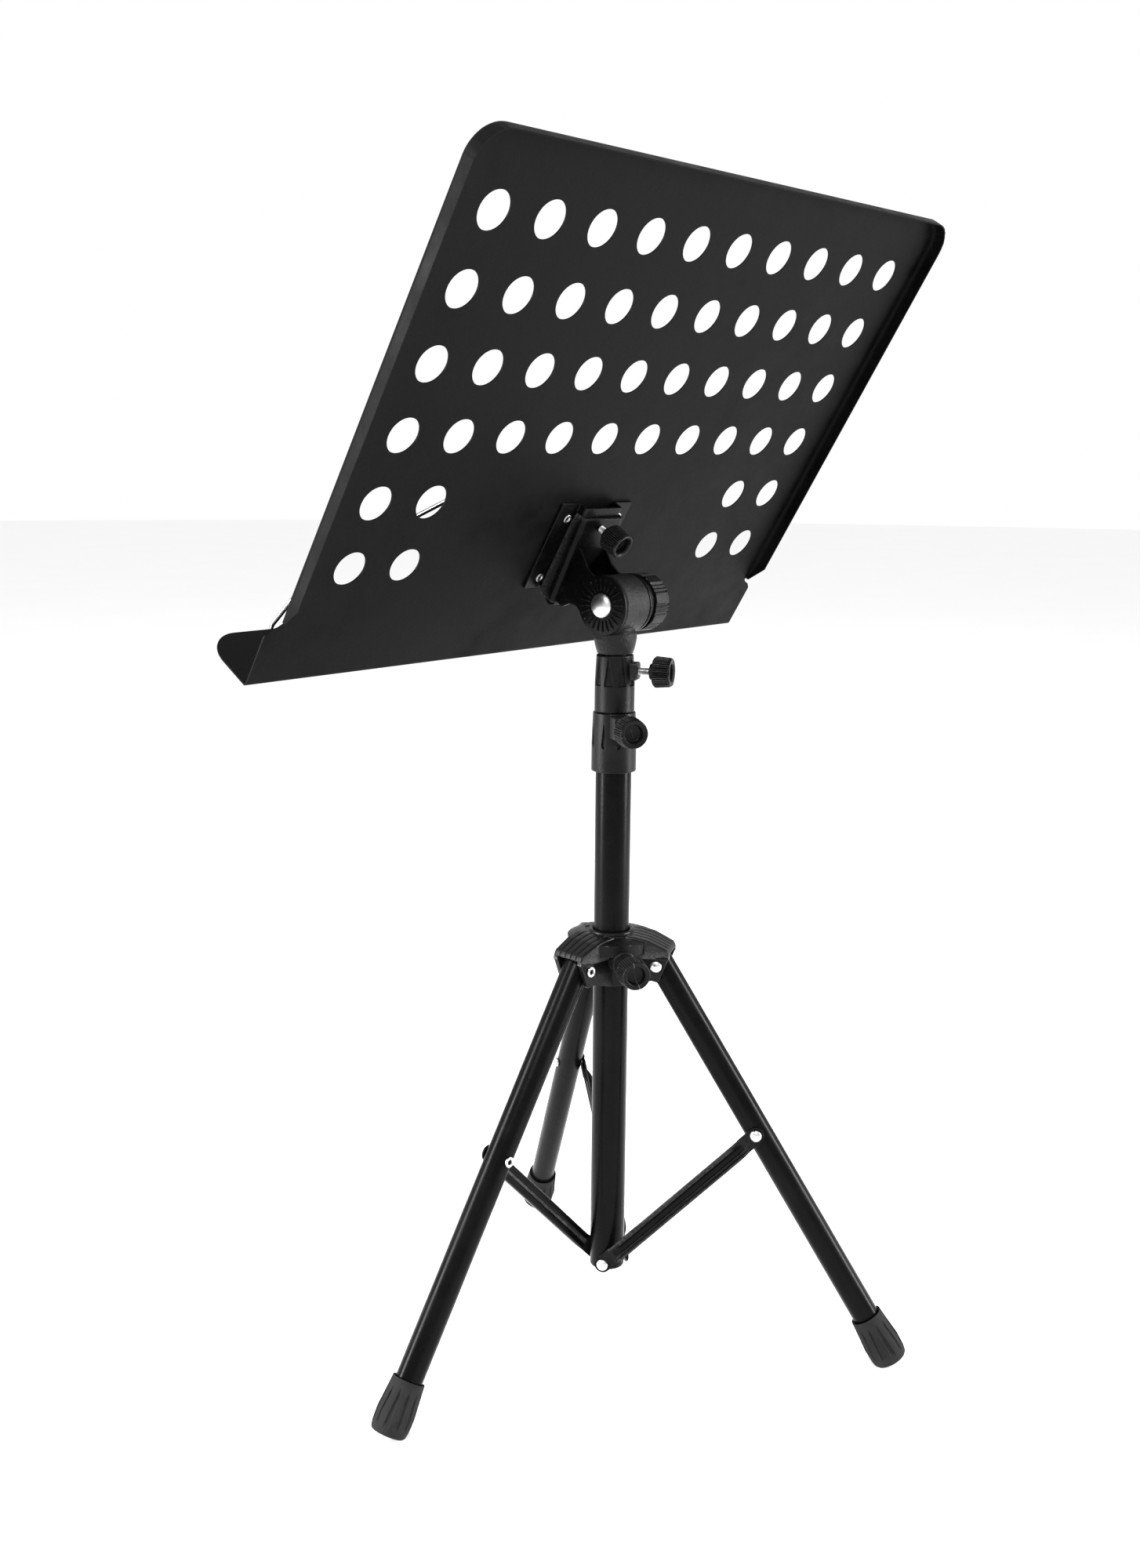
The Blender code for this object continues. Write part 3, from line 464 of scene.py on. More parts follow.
def end_cap():
    flange, plug = LOWER_TUBE_R, 11.2
    bottom, shoulder, top = 48.8, 50.8, 62.8
    outline = [(0.0, bottom), (flange, bottom, 1.2), (flange, shoulder, 0.3)]
    outline += [(plug, shoulder, 0.0), (plug, top, 0.6), (0.0, top)]
    piece("mast_foot_cap", lathe(soft(outline, 0.4), 72), MAST, "black_nylon", "mast_end_cap")


def flutes(phase, top, bottom, widths, depth, radius, round_end):
    """Slots down a sleeve, widening downwards; widths are half-angles in degrees."""
    pitch = 360.0 / FLUTES

    def relief(angle, reach, height):
        if reach < radius or not bottom <= height <= top:
            return 0.0
        turn = (math.degrees(angle) - phase + 0.5 * pitch) % pitch - 0.5 * pitch
        share = (top - height) / (top - bottom)
        width = widths[0] + (widths[1] - widths[0]) * min(1.0, share * 1.15)
        if round_end:
            left = (height - bottom) / round_end
            width *= math.sqrt(max(0.0, 1.0 - (1.0 - left) ** 2)) if left < 1.0 else 1.0
        if abs(turn) >= width or width <= 0.0:
            return 0.0
        side = 1.0 - (turn / width) ** 2
        return -depth * min(1.0, 2.6 * side) * min(1.0, 0.35 + 2.0 * share)

    return relief


def clutch(name, span, radii, bores, tube_top, boss, screw, relief, node):
    """A fluted sleeve with a square boss; span, radii and bores each run from low to high.

    The wide bore sits on the outer tube, which ends at tube_top, and boss is (half width, end).
    """
    low, high = span
    outer = [(radii[0] + 0.05, low, 0.7), (radii[0], low + 20.0, 0.0), (radii[1], high, 0.9)]
    inner = [(bores[0], low, 0.3), (bores[0], tube_top, 0.0)]
    inner += [(bores[1], tube_top, 0.0), (bores[1], high, 0.3)]
    loop = soft(inner[:1] + outer + inner[:0:-1], 0.4, True)
    body = lathe(dense(loop, 0.45), 360, relief)
    half, end = boss
    square = soft(rectangle(half, half), 1.6, True)
    lip = soft(rectangle(half - 1.1, half - 1.1), 1.2, True)
    block = [
        slab(square, bores[0] + 0.2, end - 0.5, "Z", 0.7),
        slab(lip, end - 1.5, end, "Z", 0.35),
    ]
    to_screw = MAST.inverted() @ screw
    parts = [body] + [turned(shape, to_screw) for shape in block]
    piece(name, joined(parts), MAST, "black_nylon", node)


# ---------------------------------------------------------------- thumb screws


def knurl(radius, length):
    """The teeth round a thumb screw's grip, which fade out at both ends."""
    start, end = 3.0, length - 0.9

    def relief(angle, reach, height):
        if reach < 0.88 * radius or not start < height < end:
            return 0.0
        ends = min(1.0, (height - start) / 1.0, (end - height) / 0.8)
        wave = 0.5 - 0.5 * math.cos(KNURL_TEETH * angle)
        return -KNURL_DEPTH * ends * wave ** 0.8

    return relief


def thread(angle, reach, height):
    if reach < SCREW_R - 0.2:
        return 0.0
    turns = height / SCREW_PITCH - angle / (2 * math.pi)
    return -0.36 * abs(2.0 * (turns % 1.0) - 1.0)


def thumb_screw(prefix, place, tip, span, radius=10.9):
    """A threaded shank from its tip, and a cupped knurled grip over span, both along Z."""
    start, end = span
    length = end - start
    cup_floor = length - 6.0
    screw_end = end - 8.3
    shank = [(0.0, tip), (SCREW_R, tip, 0.5), (SCREW_R, screw_end, 0.2), (0.0, screw_end)]
    shape = lathe(dense(soft(shank, 0.3), 0.2), 28, thread)
    piece(f"{prefix}_thumb_thread", shape, place, "zinc_plate", f"{prefix}_screw")
    outline = [
        (0.0, cup_floor - 2.0), (GRIP_BORE_R, cup_floor - 2.0, 0.0), (GRIP_BORE_R, 0.0, 0.3),
        (5.5, 0.0, 0.6), (5.3, 2.5, 0.5), (radius - 1.6, 2.5, 0.6), (radius, 4.1, 0.8),
        (0.925 * radius, length - 1.5, 0.4), (0.885 * radius, length - 0.5, 0.5),
        (0.85 * radius, length, 0.4), (6.9, length - 0.3, 0.6), (6.2, length - 1.2, 0.5),
        (6.0, cup_floor + 0.6, 1.0), (0.0, cup_floor),
    ]
    shape = lathe(dense(soft(outline, 0.4, steps=3), 0.8), 336, knurl(radius, length))
    shape = turned(shape, shifted(z=start))
    piece(f"{prefix}_thumb_grip", shape, place, "black_nylon", f"{prefix}_knob")


# ---------------------------------------------------------------- hub


def hub_cover(start, end):
    """The flared cover between two arms, from the collar out to its rim."""
    loop = [(19.0, 293.6, 0.0), (31.2, 293.6, 0.5), (31.2, 294.6, 0.2), (31.0, 301.3, 0.4)]
    loop += [(31.4, 302.0, 0.6), (26.0, 303.8, 3.0), (19.0, 304.8, 0.0)]
    outline = dense(soft(loop, 0.4, True), 1.2)
    arm_side = 14.0
    steps = 48
    sections = []
    for step in range(steps + 1):
        section = []
        for radius, height in outline:
            edge = math.degrees(math.asin(arm_side / radius))
            angle = math.radians(start + edge + (end - start - 2 * edge) * step / steps)
            section.append((radius * math.cos(angle), radius * math.sin(angle), height))
        sections.append(section)
    return loft(sections)


ARM_START = 14.0
ARM_LOW = 290.4
ARM_TOP = [
    (ARM_START, 305.2), (20.0, 305.2), (29.4, 303.2), (38.0, 299.4), (42.6, 297.2), (43.6, 296.0),
    (44.4, 294.0),
]
ARM_CEILING = [(ARM_START, 299.6), (30.0, 299.6), (44.2, 293.6), (44.6, 293.4)]
CHANNEL_HALF = 9.8


def height_on(line, reach):
    for (x0, z0), (x1, z1) in zip(line, line[1:]):
        if x0 <= reach <= x1:
            return z0 + (z1 - z0) * (reach - x0) / (x1 - x0)


def ridge_line(half, top):
    """An arm's ridged top from side to side; the ridges at both sides run out to the edge."""
    width = 2.0 * (half - 0.6) / HUB_RIDGES
    points = []
    for ridge in range(HUB_RIDGES):
        left = -half + 0.6 + 2.0 * (half - 0.6) * ridge / HUB_RIDGES
        shares = [(0.04, -0.45), (0.12, -0.05), (0.22, 0.0)]
        shares += [(0.78, 0.0), (0.88, -0.05), (0.96, -0.45)]
        if ridge == 0:
            shares[:2] = [(0.0, -0.25), (0.08, 0.0)]
        if ridge == HUB_RIDGES - 1:
            shares[-2:] = [(0.92, 0.0), (1.0, -0.25)]
        points += [(left + share * width, top + drop) for share, drop in shares]
        if ridge < HUB_RIDGES - 1:
            points += [(left + share * width, top - 0.9) for share in (0.98, 1.02)]
    return points


def arm():
    """One channel arm: a ridged top, thick walls and two ears that carry the leg's pivot."""
    reaches = [ARM_START, 17.0, 20.0] + [22.0 + 1.5 * step for step in range(14)]
    reaches += [42.6, 43.2, 43.8, 44.2, 44.4]
    sections = []
    for reach in reaches:
        top = height_on(ARM_TOP, reach)
        ceiling = height_on(ARM_CEILING, reach)
        half = 16.0 - 2.7 * (reach - ARM_START) / 30.4
        line = [(-half, ARM_LOW), (-half, top - 1.1), (-half + 0.25, top - 0.5)]
        line += ridge_line(half, top)
        line += [(half - 0.25, top - 0.5), (half, top - 1.1), (half, ARM_LOW)]
        roof = [(CHANNEL_HALF, ARM_LOW), (CHANNEL_HALF, ceiling - 1.0)]
        roof += [(CHANNEL_HALF - 1.0, ceiling)]
        line += roof + [(-across, height) for across, height in roof[::-1]]
        sections.append([(reach, across, height) for across, height in line])
    parts = [loft(sections)]
    ear = [(13.2, 268.9, 0.5), (32.6, 274.0, 1.0), (37.4, 273.0, 1.5), (44.0, ARM_LOW, 1.0)]
    ear += [(43.2, 292.4, 0.5), (13.2, 292.4, 0.5)]
    ledge = [(40.0, 289.4), (43.9, 289.8), (44.3, 291.6), (ARM_START, 291.6), (ARM_START, 289.4)]
    for side in (-1, 1):
        parts.append(slab(soft(ear, 1.0, True), side * CHANNEL_HALF, side * 13.8, "Y", 0.55))
        parts.append(slab(soft(ledge, 0.3, True), side * 9.9, side * 14.1, "Y", 0.4))
    return joined(parts)


def hub():
    bore = 12.8
    wall = [(bore, 268.5, 0.4), (18.0, 268.5, 0.6), (17.6, 280.0, 4.0), (18.0, 293.0, 0.4)]
    wall += [(21.5, 293.6, 0.2), (21.8, 304.4, 0.5), (16.9, 304.9, 0.5), (16.2, 305.3, 0.4)]
    wall += [(15.9, 306.4, 0.7), (14.9, 307.0, 0.7), (13.4, 306.5, 0.5), (bore, 305.4, 0.4)]
    parts = [lathe(dense(soft(wall, 0.4, True), 1.5), 144)]
    for number, azimuth in enumerate(LEG_AZIMUTHS):
        follow = LEG_AZIMUTHS[(number + 1) % len(LEG_AZIMUTHS)]
        parts.append(hub_cover(azimuth, azimuth + (follow - azimuth) % 360.0))
        parts.append(turned(arm(), about(azimuth, "Z")))
    boss = [(GRIP_BORE_R, 12.0, 0.0), (8.8, 12.0, 0.0), (8.8, 32.4, 0.9)]
    boss += [(7.6, 33.0, 0.4), (GRIP_BORE_R, 33.0, 0.3)]
    to_screw = MAST.inverted() @ outward(HUB_AZIMUTH, HUB_SCREW_Z)
    parts.append(turned(lathe(soft(boss, 0.4, True), 64), to_screw))
    piece("hub_moulding", joined(parts), MAST, "black_nylon", "hub")


# ---------------------------------------------------------------- tripod


def pin_head(face):
    """A polished domed head's outline, down to the pin under it; face is the head's underside."""
    outline = dome(PIN_HEAD_R, PIN_HEAD_HEIGHT, face, -1)
    return outline + [(PIN_HEAD_R - 0.25, face + 0.12), (PIN_R, face + 0.12)]


def rivet(name, place, head, end, node):
    """A rivet along Y: a polished domed head on -Y and a rolled hollow end on +Y."""
    rolled = [
        (PIN_R, head + 0.2), (PIN_R, end, 0.2), (3.8, end, 0.4), (3.7, end + 1.2, 0.7),
        (PIN_R, end + 1.5, 0.6), (1.75, end + 1.0, 0.5), (1.65, end - 2.6, 0.5), (0.0, end - 3.0),
    ]
    shape = lathe(pin_head(head) + soft(rolled, 0.4), 40, turn=ALONG_Y)
    piece(name, shape, place, "chrome_plate", node)


def apex_to_pivot():
    """From the point where the legs' axes meet to a leg's pivot in the hub."""
    return LEG_PIVOT_R / math.sin(math.radians(LEG_SLOPE))


def foot_grooves(top, bottom):
    """Grooves down a foot, widening downwards."""
    pitch = 360.0 / FOOT_GROOVES

    def relief(angle, reach, height):
        if reach < 10.6 or not bottom < height < top:
            return 0.0
        share = (top - height) / (top - bottom)
        turn = (math.degrees(angle) + 0.5 * pitch) % pitch - 0.5 * pitch
        width = 2.5 + 6.5 * share
        if abs(turn) > width:
            return 0.0
        ends = min(1.0, 6.0 * share, 8.0 * (1.0 - share))
        return -0.9 * ends * min(1.0, 2.4 * (1.0 - (turn / width) ** 2))

    return relief


def leg(number, azimuth):
    """A leg in its own frame, whose Z runs up it from the pivot in the hub."""
    place = leg_pivot(azimuth) @ about(-LEG_SLOPE, "Y")
    start = apex_to_pivot()
    top = start - FOOT_TOP
    end = start - FOOT_END
    low = end + 6.0
    inside = 8.3
    loop = [(inside, low), (LEG_R, low, 0.3), (LEG_R, 6.5, 1.1), (inside, 6.5, 0.4)]
    shape = lathe(soft(loop, 0.3, True), 72)
    piece(f"leg_{number}_tube", shape, place, "powder_coat", f"leg_{number}")
    bore = LEG_R + GAP
    waist = top + 0.6 * (end - top)
    outline = [
        (0.0, end), (11.0, end, 0.8), (12.2, end + 1.3, 1.0), (12.9, end + 5.0, 1.5),
        (13.3, waist, 6.0), (12.2, top + 0.28 * (end - top), 6.0), (11.3, top + 1.2, 1.0),
        (10.9, top, 0.5), (bore, top, 0.3), (bore, low - GAP, 0.0), (0.0, low - GAP),
    ]
    grooves = foot_grooves(top - 4.0, end + 4.5)
    shape = lathe(dense(soft(outline, 0.5), 0.8), 240, grooves)
    piece(f"foot_{number}_rubber", shape, place, "foot_rubber", f"foot_{number}")
    joint = place @ shifted(z=-BRACE_PIVOT_DROP)
    rivet(f"leg_{number}_pin", joint, -11.6, 9.8, f"leg_{number}_rivet")
    rivet(f"hub_{number}_pin", leg_pivot(azimuth), -14.1, 14.1, f"hub_rivet_{number}")


def brace_section(depth, rib):
    """The brace's channel in (across, out of its plane), with a pressed rib along its middle."""
    half, back = 5.25, -0.75
    middle = [(-half, -depth), (-half, back, 1.5), (-2.2, back, 0.6), (-1.3, back - rib, 0.7)]
    middle += [(1.3, back - rib, 0.7), (2.2, back, 0.6), (half, back, 1.5), (half, -depth)]
    return ribbon(soft(middle, 1.0), 0.72)


# How far from the brace's pivot, how deep the channel is there, and how deep its rib.
BRACE_RUN_IN = [
    (-10.5, 1.05, 0.0), (-12.0, 1.8, 0.0), (-15.0, 3.4, 0.2), (-18.5, 4.3, 0.9), (-22.0, 4.5, 1.1),
]


def brace(number, azimuth):
    """A brace from its pivot on the leg down to the mast, skewed to pass beside both tubes."""
    reach = apex_to_pivot() + BRACE_PIVOT_DROP
    slope = math.radians(LEG_SLOPE)
    top = Vector((reach * math.sin(slope), APEX_Z - reach * math.cos(slope)))
    along = top - Vector((0.0, MAST_PIVOT_Z))
    length = along.length
    lean = math.degrees(math.atan2(along.x, along.y))
    out = about(azimuth, "Z") @ Vector((top.x, 0.0, top.y))
    place = MAST @ shifted(*out) @ about(azimuth, "Z") @ about(lean, "Y")
    skew = Matrix.Identity(4)
    skew[1][2] = (LOWER_TUBE_R + BRACE_OFF_MAST - LEG_R - GAP) / length
    skew[1][3] = -LEG_R - GAP
    parts = []
    for level, side, start in ((0.0, 1, 0.0), (-length, -1, 180.0)):
        inward = level - side * BRACE_EYE_REACH
        eye = arc((0.0, level), BRACE_EYE_R, start, start + 180.0, 20)
        eye += [(-side * BRACE_EYE_R, inward), (side * BRACE_EYE_R, inward)]
        parts.append(slab(eye, -BRACE_SHEET, 0.0, "Y", 0.35))
    levels = BRACE_RUN_IN + [
        (-length - level, depth, rib) for level, depth, rib in BRACE_RUN_IN[::-1]
    ]
    sections = []
    for level, depth, rib in levels:
        sections.append([(u, min(v, -0.02), level) for u, v in brace_section(depth, rib)])
    parts.append(loft(sections))
    shape = turned(joined(parts), skew)
    piece(f"brace_{number}_channel", shape, place, "powder_coat", f"brace_{number}")
    face = -LOWER_TUBE_R - GAP
    head = pin_head(-LOWER_TUBE_R - BRACE_OFF_MAST - BRACE_SHEET - GAP)
    pin = lathe(head + [(PIN_R, face), (0.0, face)], 40, turn=ALONG_Y)
    foot = place @ shifted(z=-length)
    piece(f"mast_{number}_pin", pin, foot, "chrome_plate", f"mast_rivet_{number}")


# ---------------------------------------------------------------- tilt head


def tilt_head():
    """The casting: a neck that caps the top tube, and a barrel across it."""
    bore = TOP_TUBE_R + GAP
    neck = [
        (0.0, 512.3), (bore, 512.3, 0.0), (bore, 502.6, 0.3), (12.3, 502.6, 0.5),
        (13.05, 505.0, 3.0), (14.1, 509.0, 4.0), (14.8, 513.0, 3.0), (14.8, 516.4, 1.0),
        (13.2, 519.0, 2.0), (13.0, 527.0, 0.0), (0.0, 527.0),
    ]
    half, rim, face, waist = 12.4, 20.4, 19.9, 20.15
    barrel = [
        (0.0, -half), (face, -half, 0.5), (rim, 1.0 - half, 0.5), (waist, 0.0, 0.0),
        (rim, half - 1.0, 0.5), (face, half, 0.5), (0.0, half),
    ]
    parts = [lathe(soft(neck, 0.5), 120)]
    across = lathe(dense(soft(barrel, 0.5), 2.0), 144, turn=ALONG_X)
    parts.append(turned(across, shifted(z=TILT_Z)))
    piece("tilt_casting", joined(parts), MAST, "cast_barrel", "tilt_head")


def on_bracket(points):
    """Points given as (up the desk, behind it), in the tilt axis's own frame."""
    return [(up - AXIS_UP_THE_DESK, AXIS_BEHIND_DESK - behind, bend) for up, behind, bend in points]


def ear_outline():
    above = [(21.5, 37.0, 0.5), (17.5, 30.4, 6.0), (14.0, 24.6, 6.0), (12.6, 18.3, 5.0)]
    below = [(-13.1, 18.6, 5.0), (-15.3, 24.5, 5.0), (-21.1, 28.9, 4.0), (-20.9, 34.5, 0.5)]
    disc = [(u, v, 0.0) for u, v in arc((0.0, 0.0), 20.35, 48.0, -221.0, 72)]
    return soft(above + disc + below, 1.0, True)


def bracket_wall():
    """The folded wall: a flat back with a round fold down to a lip on each side."""
    sections = []
    top, bottom = -77.7, -142.0
    half = 20.4
    steps = 24
    for step in range(steps + 1):
        share = step / steps
        up = top + (bottom - top) * share
        behind = 11.8 + 4.8 * share
        lip = 3.0 + (1.2 * max(0.0, 1.0 - share * 12.0)) + 1.6 * max(0.0, (share - 0.9) * 10.0)
        line = [(-half, lip), (-half, behind, 3.2), (half, behind, 3.2), (half, lip)]
        section = ribbon(soft(line, 3.0, steps=8), 0.78)
        sections.append([(u, up - AXIS_UP_THE_DESK, AXIS_BEHIND_DESK - v) for u, v in section])
    return loft(sections)


def tilt_bracket():
    hook = [
        (-130.0, 16.6, 0.3), (-139.3, 17.2, 1.5), (-144.5, 16.2, 2.0), (-147.0, 12.0, 2.5),
        (-145.3, 7.6, 2.0), (-141.5, 5.8, 1.5), (-90.0, 5.8, 0.4), (-90.0, 7.4, 0.4),
        (-139.3, 7.4, 1.2), (-139.3, 9.8, 1.0), (-142.2, 12.0, 1.5), (-139.3, 15.0, 1.0),
        (-130.0, 15.3, 0.2),
    ]
    parts = [bracket_wall(), slab(soft(on_bracket(hook), 1.0, True), -16.5, 16.5, "X", 0.25)]
    for side in (-1, 1):
        parts.append(slab(ear_outline(), side * EAR_INSIDE, side * EAR_OUTSIDE, "X", 0.4))
    side_of_ridge = [(10.2, -0.32), (16.4, -0.32), (17.0, -0.6), (17.9, -0.55)]
    ridge = side_of_ridge + [(18.2, 0.0)] + [(u, -v) for u, v in side_of_ridge[::-1]]
    for step in range(EAR_RIDGES):
        rib = slab(ridge, EAR_OUTSIDE - 0.1, EAR_OUTSIDE + 0.8, "X", 0.16)
        parts.append(turned(rib, about(360.0 / EAR_RIDGES * step + 4.0, "X")))
    piece("tilt_stamping", joined(parts), TILT, "powder_coat", "tilt_bracket")
    under = EAR_OUTSIDE + 0.32
    end = -27.0
    shank = [(8.2, under), (SCREW_R, under), (SCREW_R, 0.4 + end), (2.2, end), (0.0, end)]
    bolt = lathe(dome(8.5, 4.2, 15.55, 1, 14) + shank, 72, turn=ALONG_X)
    piece("tilt_dome_bolt", bolt, TILT, "chrome_plate", "tilt_bolt")
    near, far = 15.3, 16.8
    ring = [(2.65, near), (12.0, near, 0.3), (12.0, far, 0.3), (2.65, far)]
    washer = lathe(soft(ring, 0.2, True), 64, turn=TOWARD_MINUS_X)
    piece("tilt_spacer", washer, TILT, "black_nylon", "tilt_washer")


def tilt_lobes(angle, reach, height):
    """The hand wheel's wide lobes, with three narrow grooves between each pair."""
    low, high = 20.4, 35.4
    if reach < 18.6 or not low < height < high:
        return 0.0
    pitch = 45.0
    lobe = 21.0
    turn = (math.degrees(angle) + 8.0) % pitch
    ends = min(1.0, (height - low) / 0.5, (high - height) / 0.7)
    if turn < lobe:
        return -0.12 * ends * math.sin(math.pi * turn / lobe)
    groove = (turn - lobe) / 8.0
    return -ends * (0.35 + 0.95 * math.sin(math.pi * (groove % 1.0)) ** 1.4)


def tilt_knob():
    nut_r, nut_top = 5.5, 22.4
    bore_end = 30.0
    outline = [
        (0.0, bore_end), (GRIP_BORE_R, bore_end, 0.0), (GRIP_BORE_R, nut_top, 0.0),
        (nut_r, nut_top, 0.0), (nut_r, 17.1, 0.2), (17.6, 17.1, 0.5), (18.2, 18.6, 0.5),
        (17.2, 19.4, 0.2), (17.4, 20.2, 0.2), (19.7, 20.4, 0.5), (20.0, 21.2, 0.4),
        (20.0, 33.6, 0.6), (18.9, 35.4, 0.6), (17.4, 36.0, 0.8), (14.6, 36.0, 0.4),
        (14.2, 35.2, 0.4), (6.0, 35.2, 1.0), (0.0, 35.4),
    ]
    shape = lathe(dense(soft(outline, 0.4), 1.0), 384, tilt_lobes, TOWARD_MINUS_X)
    piece("tilt_hand_wheel", shape, TILT, "black_nylon", "tilt_knob")


# ---------------------------------------------------------------- desk


def shelf_point(across, out, above=0.0):
    """A point of the shelf, so far out from its fold and above it, in the desk's frame."""
    turn = math.radians(90.0 - SHELF_ANGLE)
    forward = out * math.cos(turn) - above * math.sin(turn)
    up = DESK_FOLD + out * math.sin(turn) + above * math.cos(turn)
    return Vector((across, up, forward))


def rim_stations():
    """The foot of the folded rim's bend up one side, across the top and down the other."""
    inset = DESK_HALF - RIM_BEND
    top = DESK_TOP - RIM_BEND
    straight = 60.0
    steps = 40
    ends = [RIM_END + 3.0 * step for step in range(8)]
    stations = [(-inset, y, 180.0) for y in ends]
    stations += [(-inset, straight, 180.0)]
    for middle, start in ((RIM_CORNER - inset, 180.0), (inset - RIM_CORNER, 90.0)):
        corner = arc((middle, top - RIM_CORNER), RIM_CORNER, start, start - 90.0, steps)
        for step, (x, y) in enumerate(corner):
            stations.append((x, y, start - 90.0 * step / steps))
    stations += [(inset, straight, 0.0)]
    stations += [(inset, y, 0.0) for y in ends[::-1]]
    return stations


def gather(outward_angle, depth_share):
    """How far the rim's metal buckles where it is drawn round a corner."""
    into = outward_angle % 90.0
    if into == 0.0:
        return 0.0
    envelope = math.sin(math.pi * into / 90.0) ** 0.6
    wave = math.sin(math.radians(into) * 19.0 + 1.9 * math.sin(into * 0.17))
    return 0.30 * envelope * depth_share * wave * (0.6 + 0.4 * math.sin(into * 0.31))


def desk_holes(shape):
    """The edges of the desk's holes; two rows have none where the bracket is."""
    edges = []
    rows, columns = 6, 10
    for row in range(rows):
        for column in range(columns):
            if row < 2 and 2 <= column <= 7:
                continue
            x = (column - 0.5 * (columns - 1)) * HOLE_PITCH[0]
            y = (row - 0.5 * (rows - 1)) * HOLE_PITCH[1]
            circle = arc((x, y), HOLE_R, 0.0, 352.5, 47)
            edges += ring_edges(shape, [(u, v, 0.0) for u, v in circle])
    return edges


def rim_section():
    """The rim's bend and wall, as (how far out, how deep behind the plate)."""
    section = []
    for angle in (15, 30, 45, 60, 75, 90):
        turn = math.radians(angle)
        section.append((RIM_BEND * math.sin(turn), RIM_BEND * (1 - math.cos(turn))))
    section += [(RIM_BEND, 5.5), (RIM_BEND, 7.5), (RIM_BEND - 0.05, 9.4)]
    return section + [(RIM_BEND - 0.1, RIM_DEPTH)]


def desk_surface():
    shape = bmesh.new()
    stations = rim_stations()
    lower = DESK_FOLD + FOLD_R
    side = [
        (-DESK_LOWER_HALF, lower), (-DESK_LOWER_HALF, -159.5, 3.5), (-250.0, -155.2, 3.0),
        (-246.0, -153.8, 2.0), (-DESK_HALF + RIM_BEND, RIM_END - 1.2),
    ]
    left = soft(side, 3.0, steps=6)
    right = [(-x, y) for x, y in left[::-1]]
    left_verts = [shape.verts.new((x, y, 0.0)) for x, y in left]
    rim_verts = [shape.verts.new((x, y, 0.0)) for x, y, angle in stations]
    right_verts = [shape.verts.new((x, y, 0.0)) for x, y in right]
    outline = left_verts + rim_verts + right_verts
    edges = [shape.edges.new(pair) for pair in zip(outline, outline[1:] + outline[:1])]
    edges += desk_holes(shape)
    bmesh.ops.triangle_fill(shape, edges=edges, use_beauty=True)
    before = rim_verts
    for reach, depth in rim_section():
        row = []
        for x, y, angle in stations:
            turn = math.radians(angle)
            taper = 1.0
            if y < RIM_END + 16.0:
                taper = min(1.0, 0.22 + 0.78 * max(0.0, y - RIM_END) / 15.0)
            push = reach * (0.35 + 0.65 * taper) + gather(angle, min(1.0, depth / 6.0))
            buckle = 0.6 * gather(angle + 0.01, 0.6) if 0.0 < depth < 8.0 else 0.0
            spot = (x + push * math.cos(turn), y + push * math.sin(turn), -depth * taper - buckle)
            row.append(shape.verts.new(spot))
        for step in range(len(row) - 1):
            shape.faces.new((before[step], before[step + 1], row[step + 1], row[step]))
        before = row
    add_shelf(shape, left_verts[0], right_verts[-1])
    return shape


def ring_edges(shape, points):
    verts = [shape.verts.new(point) for point in points]
    return [shape.edges.new(pair) for pair in zip(verts, verts[1:] + verts[:1])]


def add_shelf(shape, left, right):
    """The fold under the plate and the shelf, from the plate's two lower corners."""
    steps = 6
    start = Vector((0.0, DESK_FOLD + FOLD_R, 0.0))
    corner = Vector((0.0, DESK_FOLD, 0.0))
    end = shelf_point(0.0, FOLD_R)
    before = (left, right)
    for step in range(1, steps + 1):
        share = step / steps
        spot = start.lerp(corner, share).lerp(corner.lerp(end, share), share)
        row = [shape.verts.new((side * DESK_LOWER_HALF, spot.y, spot.z)) for side in (-1, 1)]
        shape.faces.new((before[0], before[1], row[1], row[0]))
        before = row
    radius = 25.0
    edge = arc((DESK_LOWER_HALF - radius, SHELF_DEPTH - radius), radius, 0.0, 90.0, 24)
    outline = edge + [(-x, y) for x, y in edge[::-1]]
    verts = [before[1]] + [shape.verts.new(shelf_point(x, y)) for x, y in outline] + [before[0]]
    edges = [shape.edges.new(pair) for pair in zip(verts, verts[1:])]
    edges.append(shape.edges.get((before[0], before[1])))
    for side in (-1, 1):
        hole = arc((side * WIRE_PIVOT[0], WIRE_PIVOT[1]), WIRE_HOLE_R, 0.0, 345.0, 23)
        edges += ring_edges(shape, [shelf_point(x, y) for x, y in hole])
    bmesh.ops.triangle_fill(shape, edges=edges, use_beauty=True)


def desk():
    """The desk as one thin sheet, thickened evenly to 1 mm and eased at its edges."""
    obj = piece("desk_sheet", desk_surface(), DESK, "plate_coat", "desk", sharp=28)
    thicken = obj.modifiers.new("sheet", "SOLIDIFY")
    thicken.thickness = 1.0 * MM
    thicken.offset = 0.0
    thicken.use_even_offset = True
    ease = obj.modifiers.new("eased edges", "BEVEL")
    ease.width = 0.18 * MM
    ease.segments = 2
    ease.limit_method = "ANGLE"
    ease.angle_limit = math.radians(50)
    ease.harden_normals = True


